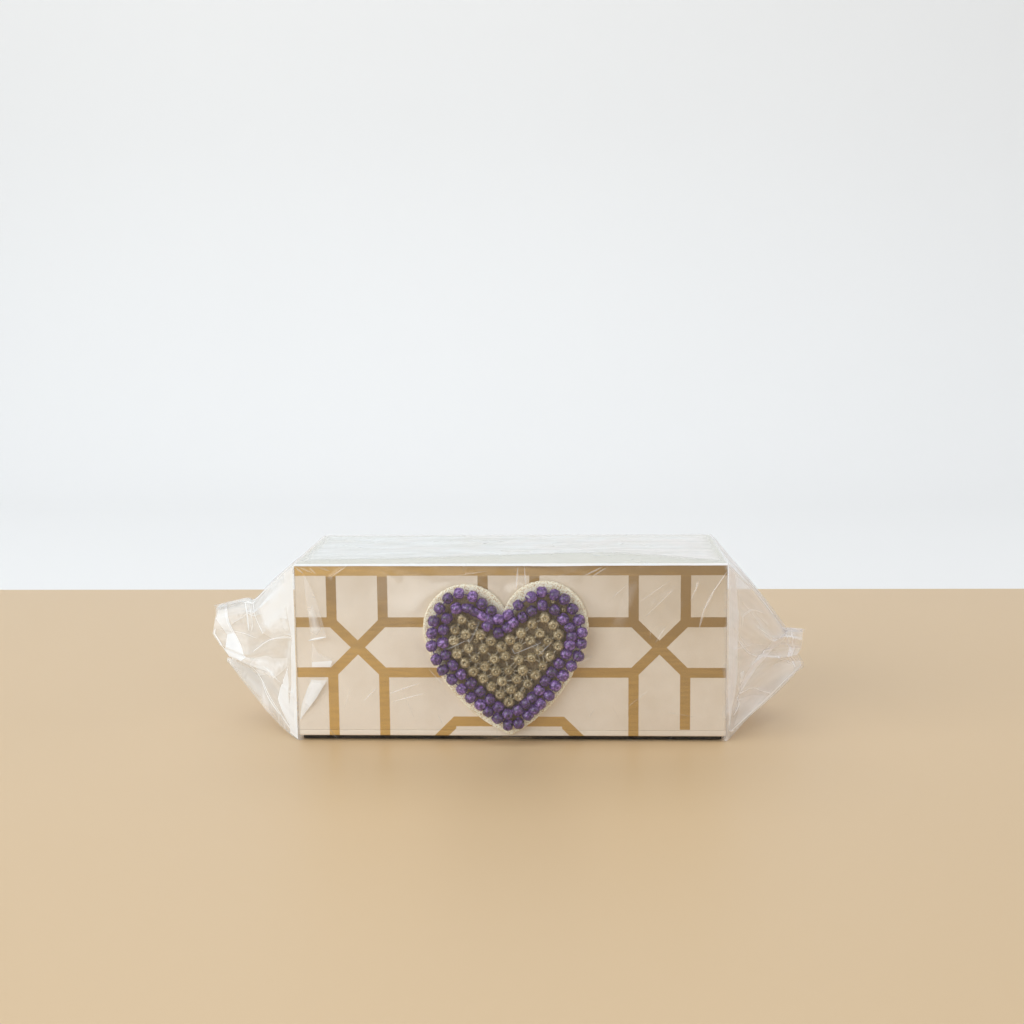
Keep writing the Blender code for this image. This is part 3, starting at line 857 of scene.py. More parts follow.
@dataclass
class FeltHeart:
    """The felt plate, with a soft uneven edge."""

    form: HeartForm
    back_y: float
    front_y: float
    round_off: float = 0.8 * MM
    fit: tuple[float, float] = (0.978, 1.024)     # to the outline that was cut, across and up
    edge_points: int = 460
    ragged: float = 0.16 * MM
    ground_from: float = 3.4 * MM     # the darker ground starts this far inside the edge
    ground_full: float = 4.8 * MM
    edge_waves: tuple[int, ...] = (37, 61, 97, 143)    # round the outline
    seed: int = 11

    def _profile(self) -> list[tuple[float, float]]:
        """(inset, y) pairs from the back of the felt over its cut edge to the ground's middle."""
        profile = [(0.15 * MM, self.back_y), (0.0, self.back_y - 0.3 * MM)]
        for angle in np.linspace(0.15, 1.0, 6) * math.pi / 2:
            profile.append((self.round_off * (1 - math.cos(angle)),
                            self.front_y + self.round_off * (1 - math.sin(angle))))
        return profile + [(inset * MM, self.front_y) for inset in (1.0, 1.8, 2.6, 3.4, 4.1, 4.8)]

    def build(self) -> list[Piece]:
        """Make the piece."""
        draws = np.random.default_rng(self.seed)
        count = self.edge_points
        rough = sum(np.sin(np.arange(count) * 2 * math.pi * waves / count + phase)
                    for waves, phase in zip(self.edge_waves, draws.uniform(0, 6.3, 4))) / 4
        heart_middle = (0.0, self.form.height / 2)
        rings = []
        tones = []
        for inset, y in self._profile():
            ring = (self.form.spaced(max(inset, 1e-6), count) - heart_middle) * self.fit + heart_middle
            outward = ring - ring.mean(axis=0)
            outward /= np.linalg.norm(outward, axis=1)[:, None]
            fade = max(0.0, 1.0 - inset / (1.5 * MM))
            wobble = self.ragged * fade * (rough + draws.normal(0.0, 0.35, count))
            depth = y + draws.normal(0.0, 0.03 * MM, count) * (inset > 0.3 * MM)
            rings.append(self.form.on_front(ring + outward * wobble[:, None], depth))
            tones.append((inset - self.ground_from) / (self.ground_full - self.ground_from))
        parts = MeshParts()
        parts.add_rings(rings, np.repeat(np.clip(tones, 0.0, 1.0), count))
        piece = parts.piece("felt_heart", WoolFelt().material(), 60.0)
        return [dress(piece, "cream_felt", "heart_backing")]


class BeadHole(Enum):
    """Which way a bead's hole runs."""

    ALONG_THREAD = "along the thread"
    OUTWARD = "out of the felt"


@dataclass
class BeadWork:
    """The purple rows and the gold middle, with their threads.

    The beads' places are (x, z) in millimetres on the front wall, in the order of the thread.
    """

    felt_y: float
    purple: float = 4.3 * MM
    gold: float = 4.15 * MM
    touch_gap: float = 0.3 * MM
    thread: float = 0.5 * MM
    knot: float = 0.34 * MM
    knot_share: float = 0.42          # from a gold bead's middle to its knot, of its width
    net_reach: float = 5.6 * MM
    net_slack: float = 0.45 * MM
    net_lifts: tuple[float, ...] = (-0.2, 0.5)    # in millimetres, as is how far a thread bows
    net_bow: float = 0.35
    tilt_spread: float = 0.14         # how much a bead is turned and stretched at random
    width_spread: float = 0.03
    length_share: float = 0.92        # of a bead along its hole, of its width
    hole_share: float = 0.11
    drawn_out: tuple[float, float, float] = (0.84, 0.84, 1.25)    # shape of a fused bead
    stray_share: float = 0.6          # of a gold bead, for how far the stray beads stand off
    seed: int = 23
    outer: Places = (
        (-0.3, 49.1), (3.3, 52.7), (8.1, 55.7), (12.0, 57.6), (16.6, 56.5), (20.3, 54.8),
        (23.2, 51.3), (25.5, 47.2), (26.7, 42.5), (26.4, 38.3), (25.3, 33.6), (22.7, 30.0),
        (19.6, 26.3), (16.8, 22.4), (14.3, 18.7), (11.2, 15.6), (8.9, 13.4), (6.5, 11.2),
        (3.1, 8.1), (-0.9, 7.5), (-4.7, 10.0), (-8.2, 12.5), (-11.2, 15.1), (-14.7, 17.8),
        (-17.9, 21.0), (-21.5, 24.7), (-24.8, 28.3), (-27.2, 32.3), (-28.8, 37.3), (-28.6, 42.2),
        (-27.9, 46.7), (-25.6, 51.4), (-22.5, 55.2), (-18.4, 57.1), (-13.4, 56.0), (-10.0, 53.3),
        (-6.6, 50.6), (-4.1, 47.4))
    inner: Places = (
        (-0.7, 44.3), (1.5, 46.2), (4.9, 48.2), (8.3, 50.5), (12.2, 52.6), (16.7, 50.9),
        (19.7, 47.5), (22.2, 44.3), (22.9, 41.0), (22.1, 37.8), (20.8, 34.4), (18.2, 30.9),
        (15.5, 27.5), (13.1, 24.3), (10.7, 20.8), (8.2, 18.0), (5.8, 15.8), (2.9, 13.2),
        (-1.0, 11.7), (-4.4, 14.3), (-7.5, 17.2), (-11.1, 20.2), (-14.4, 23.3), (-18.0, 26.7),
        (-21.0, 30.1), (-23.6, 33.9), (-24.6, 38.7), (-24.3, 43.5), (-23.0, 47.8), (-19.4, 51.5),
        (-15.3, 51.6), (-12.7, 50.2), (-10.1, 48.8), (-7.4, 47.4), (-8.2, 45.0), (-4.1, 42.3))
    fused: tuple[int, ...] = (30, 31, 32, 33)    # beads of the inner row that ran together
    middle: Places = (
        (-17.4, 47.4), (-13.6, 45.3), (-20.1, 43.6), (-16.1, 41.8), (-10.7, 41.7), (-20.5, 39.4),
        (-6.8, 39.3), (-15.1, 36.5), (-9.5, 36.4), (-3.1, 37.0), (-19.4, 34.5), (-12.5, 32.9),
        (-5.7, 32.6), (-1.5, 33.7), (-16.5, 31.0), (-9.2, 29.8), (-13.5, 27.8), (-5.1, 28.0),
        (-0.4, 28.3), (-9.9, 25.2), (-2.9, 24.2), (2.6, 24.9), (-6.8, 22.1), (0.5, 21.1),
        (-3.5, 19.1), (3.3, 18.6), (-0.4, 16.3), (6.6, 23.1), (4.8, 28.3), (3.4, 32.2),
        (9.5, 26.5), (8.0, 33.1), (12.2, 30.1), (11.2, 35.6), (14.8, 33.6), (18.0, 37.4),
        (14.2, 39.5), (18.0, 41.7), (16.2, 45.3), (11.2, 42.2), (7.7, 39.5), (3.2, 36.9),
        (0.2, 39.8), (4.3, 42.3), (8.5, 45.7), (13.0, 48.0))
    strays: Places = (
        (16.0, 54.0, 0.50), (19.9, 50.7, 0.48), (-12.3, 39.2, 0.55), (5.0, 20.4, 0.5))

    def __post_init__(self) -> None:
        """Start the random draws."""
        self.draws = np.random.default_rng(self.seed)

    def _bead(self, radius: float, length: float, hole: float, sides: int = 20,
              rings: int = 12) -> tuple[np.ndarray, Faces]:
        """A round bead about its own Z axis, with a hole through it.

        Args:
            radius: Of the bead.
            length: Along the hole.
            hole: Radius of the hole.
            sides: Points round it.
            rings: Points from one end of the hole to the other.

        Returns:
            Vertices and faces.
        """
        profile = [(hole + (radius - hole) * math.cos(a) ** 0.85, length / 2 * math.sin(a))
                   for a in np.linspace(-0.42 * math.pi, 0.42 * math.pi, rings)]
        profile += [(hole * 0.95, length * 0.40), (hole * 0.95, -length * 0.40)]
        turn = 2 * math.pi * np.arange(sides) / sides
        points = [np.stack([r * np.cos(turn), r * np.sin(turn), np.full(sides, z)], axis=1)
                  for r, z in profile]
        return np.concatenate(points), ring_faces(len(profile), sides, True)

    def _lumps(self, points: np.ndarray, size: float, lumpiness: float) -> np.ndarray:
        """Factors near 1 that make a bead's surface uneven."""
        total = np.zeros(len(points))
        for waves, depth in ((1.1, 0.036), (2.3, 0.032), (2.9, 0.028), (4.6, 0.020)):
            way = self.draws.normal(0.0, 1.0, 3)
            way /= np.linalg.norm(way)
            total += depth * np.sin(points @ way / size * waves * 2 * math.pi
                                    + self.draws.uniform(0.0, 6.3))
        return 1.0 + lumpiness * total[:, None]

    def _set_beads(self, name: str, places: np.ndarray, sizes: Union[float, np.ndarray],
                   hole: BeadHole, finish: BeadFinish, fused: Sequence[int] = ()) -> Piece:
        """One body for each bead, a little uneven in size, shape and turn.

        Args:
            name: Name of the piece.
            places: World places of the beads' middles, in the order of the thread.
            sizes: Across each bead.
            hole: Which way the holes run.
            finish: The beads' finish.
            fused: Numbers of beads that are drawn out along the thread until they join.

        Returns:
            The piece.
        """
        parts = MeshParts()
        along = np.roll(places, -1, axis=0) - np.roll(places, 1, axis=0)
        along /= np.linalg.norm(along, axis=1)[:, None]
        across = np.broadcast_to(sizes, len(places))
        for index, (place, direction, size) in enumerate(zip(places, along, across)):
            points, faces = self._bead(size / 2, size * self.length_share,
                                       size * self.hole_share)
            axis = Vector(direction) if hole is BeadHole.ALONG_THREAD else Vector((0, -1, 0))
            turn = axis.to_track_quat("Z", "Y").to_matrix()
            lean = Matrix.Rotation(self.draws.normal(0.0, self.tilt_spread), 3,
                                   Vector(self.draws.normal(0.0, 1.0, 3)).normalized())
            spin = Matrix.Rotation(self.draws.uniform(0.0, 6.28), 3, "Z")
            stretch = self.draws.normal(1.0, self.width_spread, 3).clip(0.94, 1.05)
            if index in fused:
                stretch = np.array(self.drawn_out)
            shaped = points * self._lumps(points, size, finish.lumpiness) * stretch
            placed = shaped @ np.array(lean @ turn @ spin).T
            parts.add(placed + place, faces, self.draws.uniform(0.0, 1.0))
        return parts.piece(name, finish.material(), 75.0)

    def _on_felt(self, flat: Sequence[tuple[float, ...]], size: float) -> np.ndarray:
        """World places of beads of that size that lie on the felt."""
        rows = np.array(flat)[:, :2] * MM
        return np.insert(rows, 1, self.felt_y - self.touch_gap - size / 2, axis=1)

    def _thread(self, name: str, runs: list[np.ndarray], radius: float, closed: bool,
                finish: TwistedThread) -> Piece:
        """Threads as one piece."""
        parts = MeshParts()
        for run in runs:
            parts.add(*tube(run, radius, closed))
        return parts.piece(name, finish.material(), 60.0)

    def build(self) -> list[Piece]:
        """Make the beads and their threads."""
        purple = BeadFinish("purple_bead", paint(184, 144, 226), paint(84, 48, 126),
                            paint(25, 11, 40), 0.0, 0.30, 0.55, 0.3, 2.2, 0.9)
        gold = BeadFinish("gold_bead", paint(255, 244, 212), paint(166, 149, 113),
                          paint(62, 49, 31), 0.2, 0.34, 0.45, 0.2, 1.4, 0.45)
        violet = TwistedThread("violet_thread", paint(120, 96, 160), paint(80, 60, 116))
        olive = TwistedThread("olive_thread", paint(206, 200, 184), paint(140, 128, 104))
        knot = TwistedThread("knot_thread", paint(232, 222, 190), paint(184, 166, 124))
        outer, inner = (self._on_felt(row, self.purple) for row in (self.outer, self.inner))
        middle = self._on_felt(self.middle, self.gold)
        golden = np.concatenate([middle, self._on_felt(self.strays, self.gold * self.stray_share)])
        gold_sizes = self.gold * np.array([1.0] * len(middle) + [share for *_, share in self.strays])
        along = BeadHole.ALONG_THREAD
        return [
            dress(self._set_beads("outer_beads", outer, self.purple, along, purple),
                  "purple_bead", "outer_bead_row"),
            dress(self._set_beads("inner_beads", inner, self.purple, along, purple, self.fused),
                  "purple_bead", "inner_bead_row"),
            dress(self._set_beads("gold_beads", golden, gold_sizes, BeadHole.OUTWARD, gold),
                  "gold_bead", "gold_bead_rows"),
            dress(self._thread("purple_threads", [outer, inner], self.thread / 2, True, violet),
                  "purple_bead"),
            dress(self._thread("gold_thread_net", self._net(middle), self.thread / 3, False, olive),
                  "gold_bead"),
            dress(self._knots(middle, knot), "cream_felt"),
        ]

    def _net(self, middle: np.ndarray) -> list[np.ndarray]:
        """Threads from each gold bead to its nearest ones, a little slack, and the ground's."""
        runs = []
        shares = np.linspace(0.0, 1.0, 7)[:, None]
        bow = np.sin(math.pi * shares)
        for first, start in enumerate(middle):
            for end in middle[first + 1:]:
                if np.linalg.norm(end - start) < self.net_reach:
                    for lift in self.net_lifts:
                        sideways = self.draws.normal(0.0, self.net_slack, 3) * (1, 0, 1)
                        run = start + (end - start) * shares + sideways * bow
                        run[:, 1] -= (lift + self.net_bow * bow[:, 0]) * MM
                        runs.append(run)
        return runs

    def _knots(self, middle: np.ndarray, finish: TwistedThread) -> Piece:
        """The small stitch that shows in each gold bead's hole.

        Args:
            middle: World places of the gold beads' middles.
            finish: The stitches' finish.

        Returns:
            The piece.
        """
        parts = MeshParts()
        sides = 10
        turn = 2 * math.pi * np.arange(sides) / sides
        for centre in middle:
            front = centre[1] - self.gold * self.knot_share
            rings = [np.stack([centre[0] + self.knot * math.cos(a) * np.cos(turn),
                               np.full(sides, front - self.knot * math.sin(a)),
                               centre[2] + self.knot * math.cos(a) * np.sin(turn)], axis=1)
                     for a in np.linspace(0.0, math.pi / 2, 5)[:-1]]
            rings.insert(0, rings[0] + (0.0, 0.5 * MM, 0.0))
            ends = [face[::-1] for face in end_faces(len(rings), sides)]
            parts.add(np.concatenate(rings), ring_faces(len(rings), sides) + ends,
                      self.draws.uniform(0.0, 1.0))
        return parts.piece("gold_knots", finish.material(), 60.0)


@dataclass(frozen=True)
class Fold:
    """One fold of a drawn-in end of the film, from the box's edge to the cut end.

    at: height where it starts on the box's edge. through: its places halfway to the neck, at the
    neck, behind the neck and at the cut end.
    """

    at: float
    through: Places


@dataclass(frozen=True)
class Crease:
    """A narrow crease of the film along flat places. It tapers to its ends."""

    along: Places
    width: float
    rise: float
    haze_and_painted_highlight: float

    def half_width(self, share: np.ndarray) -> np.ndarray:
        """Half its width at shares of its length."""
        return self.width / 2 * (0.35 + 0.65 * np.sin(math.pi * share))

    def lines(self, steps: int) -> list[np.ndarray]:
        """Its two sides and its middle, each through so many places."""
        stops = np.array(self.along)
        lengths = running_lengths(stops)
        shares = np.linspace(0.0, 1.0, steps)
        middle = read_off(shares * lengths[-1], lengths, stops)
        ahead = np.gradient(middle, axis=0)
        across = np.stack([-ahead[:, 1], ahead[:, 0]], axis=1)
        across /= np.linalg.norm(across, axis=1)[:, None]
        return [middle + side * self.half_width(shares)[:, None] * across for side in (-1, 0, 1)]

    def near(self, flat: np.ndarray) -> np.ndarray:
        """1 on its middle, falling to 0 at its sides."""
        stops = np.array(self.along)
        distance, share = segment_distances(flat, stops[:-1], stops[1:])
        rows = np.arange(len(flat))
        nearest = distance.argmin(axis=1)
        lengths = running_lengths(stops)
        steps = np.linalg.norm(np.diff(stops, axis=0), axis=1)
        passed = (lengths[nearest] + share[rows, nearest] * steps[nearest]) / steps.sum()
        return np.clip(1.0 - distance[rows, nearest] / self.half_width(passed), 0.0, 1.0)


@dataclass(frozen=True)
class Facet:
    """A patch of the film with its own whitening, which on many patches is painted highlight and
    reflection.

    soft is how far inside its outline the haze reaches its full strength, 0 for a sharp edge.
    """

    corners: Places
    haze_and_painted_highlight: float
    rise: float = 0.0
    soft: float = 0.0

    def depth(self, flat: np.ndarray) -> np.ndarray:
        """How far inside the outline flat places are, 0 for those outside."""
        outline = np.array(self.corners)
        inside = inside_outline(flat, outline)
        depth = np.zeros(len(flat))
        depth[inside] = outline_distances(flat[inside], outline)
        return depth


class Side(Enum):
    """A side of the film's way round the box.

    Each has the number of its first point there, the axis along it (0 for y and 1 for z), and
    whether that grows (1) or falls (-1) on the way.
    """

    FRONT = (6, 1, 1)
    TOP = (11, 0, 1)
    BACK = (16, 1, -1)


class Corner(IntEnum):
    """Numbers of points of the film's way round the box, which has five in each bend."""

    UNDER_FRONT = 1
    FOOT_FRONT = 5        # where the front counts as begun, in its lower bend
    EDGE_FRONT = 8        # and as ended, in its upper bend
    TOP_FRONT = 11
    TOP_END = 13
    FOOT_BACK = 18
    UNDER_BACK = 21


@dataclass
class FilmWrap:
    """The clear film: one flat sheet round the box, lapped underneath, drawn in at both ends.

    Flat places are (s, t) in millimetres: s along the box from its middle, t round it from the
    lap underneath, first forward under the box, then up the front, back over the top, down the
    back and forward again.
    """

    sizes: BoxSizes
    form: HeartForm
    stand_off: float = 0.35           # from the box to the middle of the film
    floor: float = 0.12
    lap: float = 8.0
    lap_lift: float = 0.22
    top_round: float = 1.1
    foot_round: float = 0.6
    bulge: float = 6.3                # height of the film over the beads
    slope: float = 2.0                # the steepest rise to it from the front's edges
    heart_reach: float = 3.0          # how far round the heart it keeps its full height
    rubbed: float = 2.4               # height of the rubbed strip at the front's foot
    rubbed_shine: float = 0.15
    far_shine: float = 0.5            # on the ends' far sides
    back_drop: float = 0.28           # how much lower the ends' back folds lie, a mm of depth
    back_spread: tuple[float, float, float] = (0.9, 0.6, 1.0)    # how far they stray, in x, y, z
    valleys: tuple[float, ...] = (0.07, 0.24, 0.22, 0.16)    # depths between the folds, as shares
    front_valleys: float = 0.4        # of those depths, in front
    over_reach: float = 17.0          # from the middle to the outer folds over the ends
    over_narrow: tuple[float, ...] = (0.55, 0.14, 0.1, 0.08)     # what is left of that reach
    under_narrow: tuple[float, ...] = (0.65, 0.35, 0.22, 0.12)
    thin_veil: float = 0.02
    veil_behind: float = 0.5          # of an end's veil
    veil_under: float = 0.4
    wave_heights: tuple[float, float, float] = (0.4, 0.08, 0.2)   # on the ends, the top, the walls
    lowest: float = 0.05              # height of the film's underside
    cell: float = 2.3
    small_creases: int = 90
    end_creases: int = 16
    seed: int = 5

    def __post_init__(self) -> None:
        """Lay out the way round the box, as (y, z) points with their running length."""
        self.ends = (LEFT_END, RIGHT_END)
        self.draws = np.random.default_rng(self.seed)
        self.half_length = self.sizes.half_width / MM + self.stand_off
        self.top = self.sizes.top_z / MM + self.stand_off
        depth = self.sizes.half_depth / MM + self.stand_off
        low, high = self.floor + self.foot_round, self.top - self.top_round
        way = [(self.lap / 2, self.floor + self.lap_lift), (-self.lap, self.floor)]
        for y, z, radius, start in ((-depth + self.foot_round, low, self.foot_round, 270.0),
                                    (-depth + self.top_round, high, self.top_round, 180.0),
                                    (depth - self.top_round, high, self.top_round, 90.0),
                                    (depth - self.foot_round, low, self.foot_round, 0.0)):
            for turn in np.radians(np.linspace(start, start - 90.0, 5)):
                way.append((y + radius * math.cos(turn), z + radius * math.sin(turn)))
        self.way = np.array(way + [(-self.lap / 2, self.floor)])
        self.way_t = running_lengths(self.way)
        self.round_it = float(self.way_t[-1])

    def _place_on(self, side: Side, at: float) -> float:
        """t of a height on the front or the back, or of a depth on the top."""
        first, axis, sign = side.value
        span = slice(first, first + 2)
        return float(np.interp(sign * at, sign * self.way[span, axis], self.way_t[span]))

    def _fold_start(self, side: Side, at: float) -> float:
        """t where a fold starts at that height, in the middle of a bend at the side's ends."""
        if 0.0 < at < self.top:
            return self._place_on(side, at)
        bend_after = at > 0.0 if side is Side.FRONT else at <= 0.0
        return self.way_t[side.value[0] + (3 if bend_after else -2)]

    def _end_folds(self, end: "FilmEnd") -> tuple[np.ndarray, np.ndarray]:
        """All folds of one end, in order of t, with a valley between each two.

        Args:
            end: The end.

        Returns:
            Their t, and their places at the stations (folds by 4 by 3).
        """
        ridges = []
        for fold in end.folds:
            through = np.array(fold.through, float)
            ridges.append((self._fold_start(Side.FRONT, fold.at), through, self.front_valleys))
            behind = through * (1, -1, 1) + self.draws.normal(0.0, 1.0, (4, 3)) * self.back_spread
            behind[:, 2] -= self.back_drop * np.abs(behind[:, 1])
            ridges.append((self._fold_start(Side.BACK, fold.at), behind, 1.0))
        reach = self.over_reach
        for y in (-reach, 0.0, reach):
            through = np.array([(x, y * narrow, z - self.back_drop / 2 * (reach + y) * narrow)
                                for (x, z), narrow in zip(end.over, self.over_narrow)])
            through = through + self.draws.normal(0.0, 0.4, (4, 3))
            ridges.append((self._place_on(Side.TOP, y), through, 1.0))
        for y, start, lift in ((4.0, 0.0, 0.25), (-17.0, self.way_t[Corner.UNDER_FRONT] + 9.0, 0.0),
                               (17.0, self.way_t[Corner.UNDER_BACK] + 17.7, 0.0),
                               (-4.0, self.round_it, 0.0)):
            through = np.array([(x, y * narrow, z + lift)
                                for (x, z), narrow in zip(end.under, self.under_narrow)])
            ridges.append((start, through, 1.0))
        ridges.sort(key=lambda ridge: ridge[0])
        times, places = [ridges[0][0]], [ridges[0][1]]
        axis_z = (32.0, end.axis_z, end.axis_z, end.axis_z)
        for (start, through, strength), (after, beyond, _) in zip(ridges, ridges[1:]):
            share = self.draws.uniform(0.38, 0.62)
            valley = through * (1 - share) + beyond * share
            axis = np.stack([valley[:, 0], np.zeros(4), axis_z], axis=1)
            pull = np.array(self.valleys)[:, None] * self.draws.uniform(0.6, 1.3)
            times += [start * (1 - share) + after * share, after]
            places += [valley + (axis - valley) * pull * strength, beyond]
        return np.array(times), np.array(places)

    def _end_places(self, side: int, out: np.ndarray, t: np.ndarray) -> np.ndarray:
        """World places of an end's points, on smooth curves through the stations.

        Args:
            side: 0 for the left end, 1 for the right.
            out: How far beyond the box's edge, along the film.
            t: The way round.

        Returns:
            Rows of x, y and z in millimetres.
        """
        times, through = self.end_folds[side]
        stops = np.array([0.0, *self.ends[side].stations])
        edge_x = np.full((len(t), 1), (-1.0, 1.0)[side] * self.half_length)
        knots = np.stack([np.hstack([edge_x, read_off(t, self.way_t, self.way)]),
                          *(read_off(t, times, through[:, station]) for station in range(4))])
        slopes = np.zeros_like(knots)
        slopes[1:-1] = (knots[2:] - knots[:-2]) / (stops[2:] - stops[:-2])[:, None, None]
        slopes[0] = (knots[1] - knots[0]) / stops[1]
        slopes[-1] = (knots[-1] - knots[-2]) / (stops[-1] - stops[-2])
        span = np.clip(np.searchsorted(stops, out, side="right") - 1, 0, 3)
        rows = np.arange(len(t))
        width = (stops[1:] - stops[:-1])[span][:, None]
        share = (out - stops[span])[:, None] / width
        return ((2 * share ** 3 - 3 * share ** 2 + 1) * knots[span, rows]
                + (share ** 3 - 2 * share ** 2 + share) * (slopes[span, rows] * width)
                + (3 * share ** 2 - 2 * share ** 3) * knots[span + 1, rows]
                + (share ** 3 - share ** 2) * (slopes[span + 1, rows] * width))

    def _bulge(self, x: np.ndarray, z: np.ndarray) -> np.ndarray:
        """How far the film stands off the front wall to pass over the heart."""
        to_edge = np.minimum(np.minimum(z - self.floor, self.top - z), self.half_length - np.abs(x))
        to_edge = np.maximum(to_edge, 0.0)
        places = np.stack([x, z], axis=1)
        outline = self.form.on_wall() / MM
        away = np.maximum(outline_distances(places, outline) - self.heart_reach, 0.0)
        away[inside_outline(places, outline)] = 0.0
        smooth = self.bulge * to_edge / np.maximum(to_edge + away, 1e-6)
        return np.minimum(smooth, self.slope * to_edge)

    def _beyond(self, s: np.ndarray) -> tuple[np.ndarray, np.ndarray]:
        """How far flat places are past the box's left edge, and past its right edge."""
        return -s - self.half_length, s - self.half_length

    def places(self, flat: np.ndarray) -> np.ndarray:
        """World places of flat places, in millimetres."""
        s, t = flat.T
        y, z = read_off(t, self.way_t, self.way).T
        front = ((t > self.way_t[Corner.FOOT_FRONT]) & (t < self.way_t[Corner.EDGE_FRONT])
                 & (np.abs(s) < self.half_length))
        y[front] -= self._bulge(s[front], z[front])
        world = np.stack([s, y, z], axis=1)
        for side, beyond in enumerate(self._beyond(s)):
            out = beyond > 0
            world[out] = self._end_places(side, beyond[out], t[out])
        return world

    def _seeded_creases(self) -> list[Crease]:
        """Small creases: fine ones all over and stronger ones on the ends."""
        draw = self.draws.uniform
        creases = []
        for _ in range(self.small_creases):
            start = draw((-76.0, 20.0), (76.0, self.round_it - 20.0))
            angle = self.draws.normal(0.9, 0.5) * self.draws.choice((-1, 1))
            end = start + draw(3.0, 11.0) * np.array([math.cos(angle), math.sin(angle)])
            creases.append(Crease((tuple(start), tuple(end)), draw(0.25, 0.5), draw(0.06, 0.16),
                                  draw(0.05, 0.22)))
        for end_of_film, sign in zip(self.ends, (-1.0, 1.0)):
            length = end_of_film.stations[-1]
            for _ in range(self.end_creases):
                out = draw(1.0, length - 6.0)
                start = np.array([sign * (self.half_length + out), draw(42.0, 125.0)])
                angle = self.draws.normal(0.0, 0.35)
                reach = min(draw(4.0, 16.0), length - 1.0 - out)
                end = start + reach * np.array([sign * math.cos(angle), math.sin(angle)])
                creases.append(Crease((tuple(start), tuple(end)), draw(0.3, 0.7), draw(0.05, 0.15),
                                      draw(0.15, 0.5) * end_of_film.whiteness_and_painted_light))
        return creases

    def _front(self, *places: tuple[float, float]) -> Places:
        """Flat places of (x, z) on the front."""
        return tuple((x, self._place_on(Side.FRONT, z)) for x, z in places)

    def _placed_creases(self) -> list[Crease]:
        """The creases that show on the front and the top."""
        return [Crease(self._front(a, b), width, rise, haze_and_painted_highlight) for a, b, width, rise, haze_and_painted_highlight in (
            ((-74.9, 38.7), (-68.2, 40.2), 0.9, 0.25, 0.8),
            ((79.5, 64.1), (74.3, 56.5), 0.7, 0.2, 0.28),
            ((75.2, 58.0), (71.1, 49.9), 1.0, 0.2, 0.38),
            ((71.3, 50.4), (69.7, 44.0), 0.9, 0.2, 0.28),
            ((68.9, 61.0), (68.3, 57.5), 0.5, 0.15, 0.3),
            ((2.8, 59.4), (3.2, 66.0), 0.7, 0.06, 0.25),
            ((6.4, 59.8), (5.6, 66.2), 0.6, 0.06, 0.22),
            ((27.8, 63.5), (33.7, 66.0), 0.5, 0.06, 0.3),
            ((30.4, 63.1), (35.5, 65.9), 0.5, 0.06, 0.25),
            ((-54.2, 16.5), (-49.9, 21.1), 0.4, 0.15, 0.3),
            ((-44.7, 19.2), (-33.8, 23.5), 0.4, 0.15, 0.3),
            ((-43.3, 16.1), (-32.0, 19.6), 0.4, 0.15, 0.25),
            ((48.0, 53.8), (58.9, 61.2), 0.4, 0.15, 0.2),
            ((49.8, 48.2), (59.6, 57.5), 0.4, 0.15, 0.2),
            ((53.5, 38.7), (57.2, 44.4), 0.4, 0.15, 0.15),
            ((37.7, 55.3), (43.2, 60.1), 0.4, 0.15, 0.2),
            ((66.2, 53.8), (69.8, 61.2), 0.4, 0.15, 0.2),
            ((-79.2, 66.2), (-76.4, 64.0), 0.7, 0.06, 0.25),
            ((-77.6, 66.2), (-73.2, 64.3), 0.6, 0.06, 0.2),
            ((-74.2, 66.3), (-71.6, 63.9), 0.6, 0.06, 0.2),
            ((-70.4, 66.1), (-66.4, 64.9), 0.6, 0.06, 0.16),
            ((0.9, 37.2), (1.9, 35.0), 0.3, 0.05, 0.4),
            ((1.9, 35.0), (11.6, 39.1), 0.3, 0.05, 0.4),
            ((-22.5, 36.8), (-16.2, 39.8), 0.3, 0.05, 0.35),
            ((5.5, 57.3), (7.7, 55.8), 0.8, 0.05, 0.35),
        )]

    def _facets(self) -> list[Facet]:
        """The flat patches that show on the front and the top; their whitening is partly painted
        highlight and reflection.
        """
        hill = ((-80.2, -31.0), (-71.4, -27.9), (-41.6, -25.0), (-11.8, -19.8), (18.4, -14.6),
                (34.5, -12.5), (56.1, -20.7), (80.2, -32.7), (80.2, 33.9), (-80.2, 33.9))
        first = Side.FRONT.value[0]
        low, high, edge = (float(self.way_t[number]) for number in (first, first + 1, first + 2))
        top = float(self.way_t[Corner.TOP_FRONT])

        def oblong(left: float, start: float, right: float, end: float) -> Places:
            """Corners of a straight patch."""
            return (left, start), (right, start), (right, end), (left, end)

